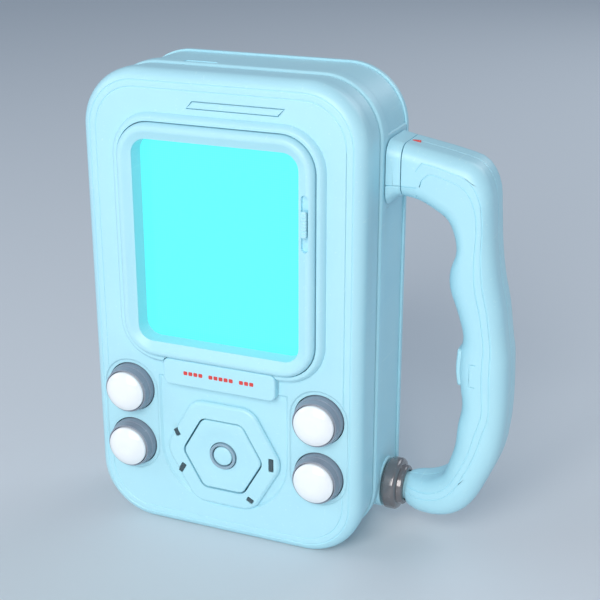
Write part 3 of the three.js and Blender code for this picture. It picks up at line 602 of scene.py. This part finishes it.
def add_screws(nodes):
    low, high = corners_of(nodes[0])
    x, z = middle_of(nodes[0])
    head = cylinder(head_radius, 1, (high.y - 1.4, high.y - 0.5), (x, z), 40)
    step((0, 1, 0), *arc(0.7, 0, 60, 3, 0.45), (0.5, 0.09))
    cross = []
    for wide, tall in ((cross_reach, cross_half), (cross_half, cross_reach)):
        cross.append(slab(
            (x - wide, x + wide), (high.y - 0.9, high.y + past), (z - tall, z + tall), 0.1, 2
        ))
    stem = cylinder(shank_radius, 1, (low.y, high.y - 1), (x, z), 24)
    combine(head, "UNION", stem)
    combine(head, "DIFFERENCE", *cross)
    soften(head, 0.05)
    for node in nodes[1:]:
        screw = copy_piece(head, (x, z), middle_of(node))
        mount(screw, f"{node}_turning", "case", "steel", plated_steel, node)
    mount(head, f"{nodes[0]}_turning", "case", "steel", plated_steel, nodes[0])


add_screws(screw_names)
add_screws([f"grip_screw_{i}" for i in (1, 2, 3)])

# Screen bezel: a rounded frame moulded in the same plastic, which drops into the case's border and
# clamps the touch lens with its skirt. Its right side has a short slot with a small ribbed slider.
bezel_low = corners_of("screen_bezel")[0]
window_corner = 5.6
slider_low, slider_high = corners_of("bezel_slider")
bezel = window_slab(bezel_band, (bezel_low.y + 2.4, panel_y - clearance), bezel_corner)
step(
    (0, -1, 0),
    *arc(1.9, 0, 90, 7, 2.4), (0.5, 0), (0.4, -0.1), (0.9, -0.55), (1.2, -0.65), (1.5, -0.55),
)
skirt = window_slab(skirt_band, (bezel_low.y + 2, lens_low.y - clearance), skirt_corner)
combine(bezel, "UNION", skirt)
light_hole = window_slab(0, (bezel_low.y - 2, lens_low.y + past), window_corner)
slider_x = (slider_low.x + slider_high.x) / 2
slot_z = (slider_low.z + slider_high.z) / 2
slot_half_width = 1.4
slot_reach = 9.5
slider_slot = slab(
    (slider_x - slot_half_width, slider_x + slot_half_width), (bezel_low.y - 2, panel_y - 2.2),
    (slot_z - slot_reach, slot_z + slot_reach), 1.2, 5,
)
combine(bezel, "DIFFERENCE", light_hole, slider_slot)
soften(bezel, case_softness)
mount(bezel, "screen_bezel_moulding", "case", "case_plastic", ice_blue, "screen_bezel")

slider = slab(
    (slider_low.x, slider_high.x), (slider_low.y + 0.4, slider_high.y), (slider_low.z, slider_high.z), 0.7, 4
)
step((0, -1, 0), *arc(0.4, 0, 90, 3))
rib_pitch = 1.1
ribs = []
for row in range(-3, 4):
    z = slot_z + row * rib_pitch
    ribs.append(block(
        (slider_low.x - past, slider_high.x + past),
        (slider_low.y - past, slider_low.y + 0.3),
        (z - 0.2, z + 0.2),
    ))
combine(slider, "DIFFERENCE", *ribs)
soften(slider, 0.06)
mount(slider, "bezel_slider_moulding", "slider", "case_plastic", ice_blue, "bezel_slider")

# Touch lens: a flat polished sheet, clamped under the bezel over the lit display, which fills it with an
# even cyan glow. A faint grid of display cells shows close up, and the glow drifts a little.
lit_lens = bpy.data.materials.new("lit_cyan_lens")
lit_lens.use_nodes = True
lens_tree = lit_lens.node_tree
lens_shader = lens_tree.nodes["Principled BSDF"]
lens_place = lens_tree.nodes.new("ShaderNodeTexCoord")
cells = lens_tree.nodes.new("ShaderNodeTexBrick")
cells.offset = 0
cells.inputs["Scale"].default_value = 1000
cells.inputs["Color1"].default_value = (0.14, 1.0, 1.0, 1)
cells.inputs["Color2"].default_value = (0.145, 1.0, 1.0, 1)
cells.inputs["Mortar"].default_value = (0.125, 0.95, 0.96, 1)
cells.inputs["Mortar Size"].default_value = 0.06
cells.inputs["Brick Width"].default_value = 0.8
cells.inputs["Row Height"].default_value = 0.8
cell_turn = lens_tree.nodes.new("ShaderNodeMapping")
cell_turn.inputs["Rotation"].default_value = (math.pi / 2, 0, 0)
lens_tree.links.new(lens_place.outputs["Object"], cell_turn.inputs["Vector"])
lens_tree.links.new(cell_turn.outputs["Vector"], cells.inputs["Vector"])
glow_cloud = lens_tree.nodes.new("ShaderNodeTexNoise")
glow_cloud.inputs["Scale"].default_value = 9
lens_tree.links.new(lens_place.outputs["Object"], glow_cloud.inputs["Vector"])
glow_drift = map_values(lens_tree, glow_cloud.outputs["Fac"], 0, 0.2)
glow = mix_colours(lens_tree, glow_drift, cells.outputs["Color"], (0.11, 0.93, 0.96))
lens_tree.links.new(glow, lens_shader.inputs["Emission Color"])
lens_shader.inputs["Emission Strength"].default_value = 0.98
lens_shader.inputs["Base Color"].default_value = (0.01, 0.06, 0.07, 1)
lens_shader.inputs["Roughness"].default_value = 0.08
lens_shader.inputs["Specular IOR Level"].default_value = 0.25
lens = window_slab(lens_overlap, (lens_low.y + 0.2, lens_high.y), window_corner)
step((0, -1, 0), (0.2, 0.2))
mount(lens, "touch_lens_glazing", "case", "screen_glass", lit_lens, "screen_lens")

# Display, backlight, boards, battery and the other pieces inside: they keep the frame's own shapes
# and get the finish each one has, matt green board, tinned shield, black mouldings, frosted diffuser.
black_moulding = finish_surface(
    "black_moulding", (0.03, 0.033, 0.04), (0.045, 0.048, 0.055), (0.1, 0.1, 0.11), 0.5
)
green_board = finish_surface(
    "green_solder_mask", (0.01, 0.09, 0.055), (0.015, 0.12, 0.07), (0.3, 0.28, 0.12), 0.45, scale=1800
)
frosted_white = finish_surface(
    "frosted_diffuser", (0.85, 0.9, 0.92), (0.8, 0.86, 0.9), (0.95, 0.97, 0.97), 0.6
)
smoked_window = finish_surface(
    "smoked_lamp_window", (0.045, 0.08, 0.095), (0.06, 0.1, 0.12), (0.2, 0.26, 0.28), 0.25,
    grain=0.05, coat=0.4,
)
inside_finishes = {
    "display_panel": lit_lens,
    "backlight_plate": frosted_white,
    "main_board": green_board,
    "processor_shield": plated_steel,
    "battery_tray": black_moulding,
    "battery_pack": black_moulding,
    "speaker": black_moulding,
    "nav_switch": black_moulding,
    "nav_mat": dark_rubber,
    "trigger_switch": black_moulding,
    "collar_stud": plated_steel,
}
inside_finishes.update({f"button_switch_{i}": black_moulding for i in (1, 2, 3, 4)})
for name, finish in inside_finishes.items():
    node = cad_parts[name]
    node.data.materials.clear()
    node.data.materials.append(finish)

# Nameplate: a raised tablet with rounded ends, moulded in the same plastic and glued into a seat below
# the screen. A row of plain red bars in three groups is printed on it.
signal_red = finish_surface(
    "signal_red", (0.80, 0.06, 0.05), (0.72, 0.05, 0.045), (0.9, 0.2, 0.16), 0.35, grain=0.05, coat=0.3
)
plate = slab(
    (plate_low.x, plate_high.x), (plate_low.y + 0.7, plate_high.y), (plate_low.z, plate_high.z), 2.4, 8
)
step((0, -1, 0), *arc(0.7, 0, 90, 5))
mount(plate, "nameplate_tablet", "case", "case_plastic", ice_blue, "nameplate")
bar_z = (plate_low.z + plate_high.z) / 2 + 0.3
bar_width = 1.5
bar_pitch = 1.95
bar_half = 0.7
x = -13.4
bars = None
for count in (4, 5, 3):
    for _ in range(count):
        bar = slab(
            (x, x + bar_width), (plate_low.y - 0.06, plate_low.y + 0.1), (bar_z - bar_half, bar_z + bar_half),
            0.3, 3,
        )
        bars = bar if bars is None else combine(bars, "UNION", bar)
        x += bar_pitch
    x += bar_pitch
mount(bars, "nameplate_red_bars", "case", "lamp_red", signal_red)

# Badge strip: a thin leaning label of the same plastic, with nothing printed on it.
# It is glued into a shallow seat in the panel above the screen, and has a fine step round its edge.
badge = leaning_slab(0, (badge_low.y + 0.1, badge_high.y))
step((0, -1, 0), (0.1, 0.1), (0.2, 0), (0.08, -0.06))
mount(badge, "badge_strip_label", "case", "case_plastic", ice_blue, "badge_strip")

# Push keys: four alike, each a polished white dome in a tapered collar of satin grey plastic.
# The collar is held in a hole in the front panel, and the dome slides in it and presses a switch.
collar_grey = finish_surface(
    "satin_grey_collar", (0.29, 0.33, 0.40), (0.24, 0.28, 0.345), (0.45, 0.48, 0.53), 0.3, grain=0.08
)
polished_white = finish_surface(
    "polished_white_key", (0.97, 0.985, 1.0), (0.94, 0.97, 0.99), (1.0, 1.0, 1.0), 0.2, grain=0.03, coat=0.5
)
cap_radius = 7.35
collar_base = 8.9
collar_crest = 8.2
collar_gap = 0.15
first_place = middle_of("button_cap_1")
rim_low, rim_high = corners_of("button_collar_1")
rim_height = panel_y - rim_low.y
taper = collar_base - collar_crest
collar = cylinder(collar_base, 1, (panel_y - 0.2, rim_high.y), first_place, 96)
step(
    (0, -1, 0),
    (taper * 0.4, rim_height * 0.3), (0.14, 0.05), (0.02, 0.25), (taper * 0.5, rim_height * 0.48),
    *arc(0.35, 0, 90, 4, rim_height * 0.22 - 0.5), (0.1, 0), (0.12, -0.2), (0, -3),
)
well = cylinder(cap_radius + collar_gap, 1, (rim_low.y - past, rim_high.y + past), first_place, 96)
combine(collar, "DIFFERENCE", well)
dome = cylinder(cap_radius, 1, (rim_low.y - 0.3, panel_y + 2.6), first_place, 96)
step((0, -1, 0), *arc(1.1, 0, 60, 6, 0.9), *arc(cap_radius - 0.6, 40, 86, 8, 4.4))
for i in (4, 3, 2, 1):
    place = middle_of(f"button_cap_{i}")
    own_collar = collar if i == 1 else copy_piece(collar, first_place, place)
    own_dome = dome if i == 1 else copy_piece(dome, first_place, place)
    rim, cap = f"button_collar_{i}", f"button_cap_{i}"
    mount(own_collar, f"{rim}_turning", "case", "collar_grey", collar_grey, rim)
    mount(own_dome, f"{cap}_moulding", f"button_{i}", "key_white", polished_white, cap)

# Rocker: a flat-topped ring round a six-sided pad that tips on a rubber mat, both moulded in the case's
# plastic. The ring has four smoked lamp windows pressed into it, and the dished pad has a pale grey
# ring in its middle with the centre key in it.
pad_low, pad_high = corners_of("nav_pad")
centre = middle_of("nav_pad")
ring_apothem = 20
ring_corner = 7
pad_apothem = 13.25
pad_corner = 3
pad_gap = 0.55
centre_radius = 3.6
ring = rounded_hex(ring_apothem, ring_corner, (ring_low.y + 1.1, panel_y + 0.7), 8)
step((0, -1, 0), (0.12, 0.35), (0.3, 0.35), (0.5, 0.3), (0.4, 0.1))
mouth = rounded_hex(pad_apothem + pad_gap, pad_corner + 0.5, (ring_low.y - 3, panel_y + 5))
spigot = rounded_hex(spigot_apothem, spigot_corner, (panel_y, ring_high.y), 8)
combine(ring, "UNION", spigot)
lamp_turns = {1: -math.pi / 6, 2: math.pi / 6, 3: 0.0, 4: -math.pi / 3}
lamp_lengths = {1: 2.6, 2: 3.6, 3: 4.6, 4: 2.2}
lamp_half = 0.7


def lamp_bar(i, grow):
    """A small bar in the ring, turned with the side that it lies on."""
    x, z = middle_of(f"nav_lamp_{i}")
    low, high = corners_of(f"nav_lamp_{i}")
    reach = lamp_lengths[i] / 2
    piece = slab(
        (x - lamp_half - grow, x + lamp_half + grow), (low.y - grow, high.y + grow),
        (z - reach - grow, z + reach + grow), 0.25, 3,
    )
    middle = (x * MM, (low.y + high.y) / 2 * MM, z * MM)
    bpy.ops.mesh.select_all(action="SELECT")
    bpy.ops.transform.rotate(value=-lamp_turns[i], orient_axis="Y", center_override=middle)
    return piece


windows = [lamp_bar(i, 0.25) for i in lamp_turns]
combine(ring, "DIFFERENCE", mouth, *windows)
soften(ring, 0.12)
mount(ring, "nav_ring_moulding", "case", "case_plastic", ice_blue, "nav_ring")
for i in lamp_turns:
    lamp = lamp_bar(i, 0)
    mount(lamp, f"nav_lamp_{i}_window", "case", "lamp_dark", smoked_window, f"nav_lamp_{i}")

pad = rounded_hex(pad_apothem, pad_corner, (pad_low.y + 0.6, pad_high.y), 6)
step((0, -1, 0), *arc(0.6, 0, 90, 4))
band_radius = 5
band_bore = 4
dish = cylinder(11.6, 1, (pad_low.y - 2, pad_low.y), centre, 72)
step((0, 1, 0), (2.4, 0.45), (1.6, 0.2), (1.6, 0.08))
well = cylinder(band_radius + clearance, 1, (pad_low.y - 2, pad_high.y - 1), centre, 64)
stem = cylinder(band_bore, 1, (pad_low.y - 2, pad_high.y + past), centre, 48)
combine(pad, "DIFFERENCE", dish, well, stem)
soften(pad, 0.1)
mount(pad, "nav_pad_moulding", "nav_rocker", "case_plastic", ice_blue, "nav_pad")

pale_grey = finish_surface(
    "pale_grey_ring", (0.33, 0.47, 0.56), (0.29, 0.42, 0.51), (0.5, 0.6, 0.68), 0.3, grain=0.08
)
band_low, band_high = corners_of("centre_ring")
band = cylinder(band_radius, 1, (band_low.y + 0.35, band_high.y), centre, 64)
step((0, -1, 0), *arc(0.35, 0, 90, 3), (0.3, 0), *reversed([(w, -r) for w, r in arc(0.3, 0, 90, 3)]))
combine(band, "DIFFERENCE", cylinder(band_bore, 1, (band_low.y - past, band_high.y + past), centre, 64))
mount(band, "centre_ring_turning", "nav_rocker", "collar_grey", pale_grey, "centre_ring")

key_low, key_high = corners_of("centre_button")
key = cylinder(centre_radius, 1, (key_low.y + 0.6, key_low.y + 2.6), centre, 64)
step((0, -1, 0), *arc(0.5, 0, 80, 4, 0.4), (1.2, 0.12), (1.2, 0.06))
combine(key, "UNION", cylinder(1.8, 1, (key_low.y + 2, key_high.y), centre, 24))
mount(key, "centre_button_moulding", "centre_key", "case_plastic", ice_blue, "centre_button")

# Grip: two moulded halves in the same plastic, screwed together along a split down the middle.
# It leaves the case through a root block, bends down past four finger rests and comes back to the
# locking collar. Two scribed lines follow its front face.
case_side = half
arm_z = top - 30.1
grip_y = (root_low.y + root_high.y) / 2
grip_depth = 22
grip_wall = 2.2
root_corner = 5.2
trigger_stand = 1
upper_points = [
    ((5.5, 7.9), (5.5, -9.9)), ((12.7, 6.6), (10.9, -10.9)), ((21.4, 4.9), (16.4, -13.6)),
    ((30, 2.3), (20.7, -16.8)), ((34.6, -4.7), (23.1, -22)), ((35.8, -14), (23.8, -27.8)),
    ((36.7, -25.3), (22, -33.9)), ((38.3, -36.3), (22.1, -40.1)), ((40.5, -45.8), (24.9, -47.7)),
    ((42.3, -58.3), (27.4, -56.3)),
]
lower_points = [
    ((43.1, 58), (26.7, 58.3)), ((43.5, 51), (26.4, 51.5)), ((43.7, 44.5), (27.3, 45)),
    ((43.7, 37.5), (28.2, 38)), ((43.2, 29.5), (27, 30.5)), ((41.8, 20.8), (26.4, 22.8)),
    ((38.3, 11.2), (24.4, 15.6)), ((33.6, 1.7), (22.4, 10.2)), ((27.9, -3.9), (18.6, 7.2)),
    ((20.8, -6.5), (15, 5.9)), ((14, -6.7), (11.7, 5.6)), ((9.6, -6), (9.2, 5.4)),
    ((8, -5), (8, 5)), ((4.7, -5), (4.7, 5)),
]
outer_line = [Vector((case_side + x, arm_z + z)) for (x, z), _ in upper_points]
inner_line = [Vector((case_side + x, arm_z + z)) for _, (x, z) in upper_points]
outer_line += [Vector((case_side + x, foot_z + z)) for (x, z), _ in lower_points]
inner_line += [Vector((case_side + x, foot_z + z)) for _, (x, z) in lower_points]
last_section = len(outer_line) - 1
grip_depths = [
    (0, grip_depth), (17, grip_depth), (18, 21.3), (19, 19.8), (20, 17.6), (21, 13.6), (22, 10.1), (23, 10),
]
grip_corners = [(0, root_corner), (2, 5.4), (5, 6.4), (17, 6.6), (19, 6), (21, 5.4), (23, 4.95)]


def smooth_point(points, t):
    """A point on the smooth line through a list of points, t from 0 to the last index."""
    i = min(int(t), len(points) - 2)
    t -= i
    a, b, c, d = (points[max(0, min(j, len(points) - 1))] for j in (i - 1, i, i + 1, i + 2))
    bend = 2 * a - 5 * b + 4 * c - d
    twist = 3 * b - a - 3 * c + d
    return 0.5 * (2 * b + (c - a) * t + bend * t * t + twist * t ** 3)


def value_at(table, t):
    """The value at t in a table of (t, value) pairs joined by straight lines."""
    for (t0, v0), (t1, v1) in zip(table, table[1:]):
        if t <= t1:
            return v0 + (v1 - v0) * max(0, t - t0) / (t1 - t0)
    return table[-1][1]


def loft(rings):
    """Rounded oblongs set one after another and bridged into one closed body.

    Each ring is its centre (x, y, z), its angle about Y, its width, its depth and its corner.
    """
    object_mode()
    bpy.ops.object.select_all(action="DESELECT")
    for number, (centre, angle, width, depth, corner) in enumerate(rings):
        place = [value * MM for value in centre]
        bpy.ops.mesh.primitive_plane_add(size=MM, location=place)
        if number == 0:
            begin()
            bpy.ops.mesh.select_all(action="SELECT")
        bpy.ops.transform.resize(value=(width, depth, 1), center_override=place)
        bpy.ops.transform.rotate(value=-angle, orient_axis="Y", center_override=place)
        bpy.ops.mesh.bevel(offset=corner * MM, segments=7, affect="VERTICES")
    bpy.ops.mesh.select_all(action="SELECT")
    bpy.ops.mesh.delete(type="ONLY_FACE")
    bpy.ops.mesh.select_all(action="SELECT")
    bpy.ops.mesh.bridge_edge_loops(type="SINGLE")
    bpy.ops.mesh.select_all(action="SELECT")
    bpy.ops.mesh.fill_holes(sides=0)
    bpy.ops.mesh.select_all(action="SELECT")
    bpy.ops.mesh.normals_make_consistent(inside=False)
    return bpy.context.object


def grip_body(grow, stations):
    rings = []
    for station in range(stations + 1):
        t = last_section * station / stations
        outer = smooth_point(outer_line, t)
        inner = smooth_point(inner_line, t)
        across = outer - inner
        width = across.length + 2 * grow
        depth = value_at(grip_depths, t) + 2 * grow
        corner = min(value_at(grip_corners, t) + grow, 0.49 * min(width, depth))
        middle = (outer + inner) / 2
        angle = math.atan2(-across.y, across.x)
        rings.append(((middle.x, grip_y, middle.y), angle, width, depth, corner))
    return loft(rings)


def scribed_line(shares, stations):
    """A thin cutter that runs along the grip's front face, at a share of its width from outside."""
    start, stop = shares[0][0], shares[-1][0]
    path = []
    for station in range(stations + 1):
        t = start + (stop - start) * station / stations
        outer = smooth_point(outer_line, t)
        across = smooth_point(inner_line, t) - outer
        share = value_at(shares, t)
        corner = value_at(grip_corners, t)
        from_edge = min(share, 1 - share) * across.length
        recede = 0
        if from_edge < corner:
            recede = corner - math.sqrt(corner ** 2 - (corner - from_edge) ** 2)
        path.append((outer + across * share, grip_y - value_at(grip_depths, t) / 2 + recede))
    object_mode()
    bpy.ops.object.select_all(action="DESELECT")
    turned = 0
    for number, (place, y) in enumerate(path):
        spot = Vector((place.x, y - 0.2, place.y)) * MM
        run = path[min(number + 1, stations)][0] - path[max(number - 1, 0)][0]
        turn = math.remainder(math.atan2(run.x, run.y) - turned, 2 * math.pi)
        if number == 0:
            bpy.ops.mesh.primitive_plane_add(size=MM, location=spot)
            cutter = begin()
            bpy.ops.mesh.select_all(action="SELECT")
            bpy.ops.transform.resize(value=(0.3, 1, 1), center_override=spot)
        else:
            bpy.ops.mesh.extrude_region_move(TRANSFORM_OT_translate={"value": spot - last_spot})
        bpy.ops.transform.rotate(value=-turn, orient_axis="Y", center_override=spot)
        turned += turn
        last_spot = spot
    bpy.ops.mesh.select_all(action="SELECT")
    bpy.ops.mesh.normals_make_consistent(inside=False)
    return cutter


seam_drop = 5.8
scribe_half = 0.13
root_sections = 8
root_rings = []
for number in range(root_sections + 1):
    share = number / root_sections
    high_z = 8.9 - share
    low_z = -13.4 + 3.5 * (1 - (1 - share) ** 2)
    root_rings.append((
        (root_low.x + (root_high.x - root_low.x) * share, grip_y, arm_z + (high_z + low_z) / 2),
        -math.pi / 2, high_z - low_z, grip_depth + 0.8 * (1 - share), root_corner,
    ))
root = loft(root_rings)
seam_z = (arm_z - seam_drop - scribe_half, arm_z - seam_drop + scribe_half)
root_seam = block((root_low.x - past, root_high.x + past), (root_low.y - past, root_low.y + 0.6), seam_z)
combine(root, "DIFFERENCE", root_seam)
soften(root, 0.15)
mount(root, "grip_root_moulding", "case", "case_plastic", ice_blue, "grip_root_block")

trigger_low, trigger_high = corners_of("grip_trigger")
trigger_z = (trigger_low.z + trigger_high.z) / 2
trigger_half = (trigger_high.z - trigger_low.z) / 2
trigger_side = (trigger_high.y - trigger_low.y) / 2
grip_screws = [middle_of(f"grip_screw_{i}") for i in (1, 2, 3)]
screw_high = corners_of("grip_screw_1")[1]
trigger_clear = 0.4
boss_radius = 3.2
outer_scribe = [
    (0.78, 0.42), (0.84, 0.3), (0.94, 0.235), (1.1, 0.22), (5, 0.22), (8, 0.27), (10, 0.3), (13, 0.32),
    (15, 0.48), (17, 0.58), (20, 0.6), (21.4, 0.6),
]
inner_scribe = [
    (0.9, 0.93), (1, 0.7), (1.15, 0.5), (1.4, 0.38), (1.7, 0.36), (5, 0.36), (8, 0.42), (10, 0.45),
    (13, 0.47), (15, 0.62), (17, 0.74), (20, 0.79), (21.4, 0.8),
]


def grip_half(front):
    side = -1 if front else 1
    split = grip_y + side * 0.15
    y = (grip_y - 20, split) if front else (split, grip_y + 20)
    piece = combine(grip_body(0, 66), "DIFFERENCE", grip_body(-grip_wall, 44))
    combine(piece, "INTERSECT", block((case_side, case_side + 60), y, (0, top)))
    boss_span = sorted((split, grip_y + side * 9.6))
    bosses = [cylinder(boss_radius, 1, boss_span, place, 32) for place in grip_screws]
    combine(piece, "UNION", *bosses)
    tools = [
        cylinder(shank_radius + clearance, 1, (grip_y - 5, grip_y + 20), place, 24) for place in grip_screws
    ]
    if not front:
        sunk = (screw_high.y - counterbore_depth, grip_y + 20)
        tools += [cylinder(counterbore_radius, 1, sunk, place, 48) for place in grip_screws]
    reach_y = trigger_side + trigger_clear
    reach_z = trigger_half + trigger_clear
    tools.append(slab(
        (case_side + 19, trigger_high.x + 2), (grip_y - reach_y, grip_y + reach_y),
        (trigger_z - reach_z, trigger_z + reach_z), 1.9, 5, axis=0,
    ))
    if front:
        face = (grip_y - grip_depth / 2 - past, grip_y - grip_depth / 2 + 0.5)
        patch_low = trigger_z - 4.7
        patch_high = trigger_z + 3.4
        tools += [scribed_line(outer_scribe, 90), scribed_line(inner_scribe, 90)]
        tools.append(block((case_side + 5, case_side + 10.7), face, seam_z))
        tools.append(block((82.5, 82.8), face, (patch_low, patch_high)))
        for z in (patch_low, patch_high):
            tools.append(block((82.5, 84.8), face, (z - scribe_half, z + scribe_half)))
    combine(piece, "DIFFERENCE", *tools)
    return soften(piece, 0.12)


mount(grip_half(True), "grip_front_moulding", "case", "case_plastic", ice_blue, "grip_front_half")
mount(grip_half(False), "grip_rear_moulding", "case", "case_plastic", ice_blue, "grip_rear_half")

# Trigger: a moulded key with rounded edges, which follows the grip's inner side and stands a little
# proud of it. It slides straight in against a spring, in the slot shared by the two halves.
trigger = slab(
    (trigger_low.x - 1, trigger_high.x), (trigger_low.y, trigger_high.y), (trigger_low.z, trigger_high.z),
    1.5, 5, axis=0,
)
combine(trigger, "INTERSECT", grip_body(trigger_stand, 66))
soften(trigger, 0.7, 4)
mount(trigger, "grip_trigger_moulding", "trigger", "case_plastic", ice_blue, "grip_trigger")

# Arm lamp: a narrow red window on the top of the grip's arm, near the root block.
# It is a small moulding of red plastic with a bevelled face.
lamp_low, lamp_high = corners_of("arm_lamp")
lamp = slab(
    (lamp_low.x, lamp_high.x), (lamp_low.y, lamp_high.y), (lamp_low.z, lamp_high.z), 0.4, 4, axis=2
)
step((0, 0, 1), (0.1, 0.1))
mount(lamp, "arm_lamp_window", "case", "lamp_red", signal_red, "arm_lamp")

# Locking collar: a cast and polished grey ring, turned by hand on a stud to free the grip's lower end.
# It has a broad band with bevelled shoulders and a smaller ring on the side of the grip.
cast_grey = finish_surface(
    "polished_cast_grey", (0.23, 0.215, 0.22), (0.18, 0.165, 0.17), (0.46, 0.44, 0.44), 0.16,
    grain=0.05, metal=0.35, coat=0.6,
)
nut_radius = 9.5
nut_bore = 5.6
nut = cylinder(nut_radius, 0, (nut_low.x + 1.4, nut_low.x + 4.2), (nut_y, foot_z), 96)
step((-1, 0, 0), (0.2, 0.5), (0.5, 0.5), (0.5, 0.4))
step((1, 0, 0), (0.15, 0.4), (0.35, 0.45), (0.6, 0.35), (1.1, 0.1), (0.1, 1.4), (0.3, 0.4), (0.5, 0.3))
combine(
    nut, "DIFFERENCE", cylinder(nut_bore, 0, (nut_low.x - past, nut_high.x + past), (nut_y, foot_z), 64)
)
soften(nut, 0.12)
mount(nut, "locking_collar_casting", "collar", "nut_grey", cast_grey, "locking_collar")
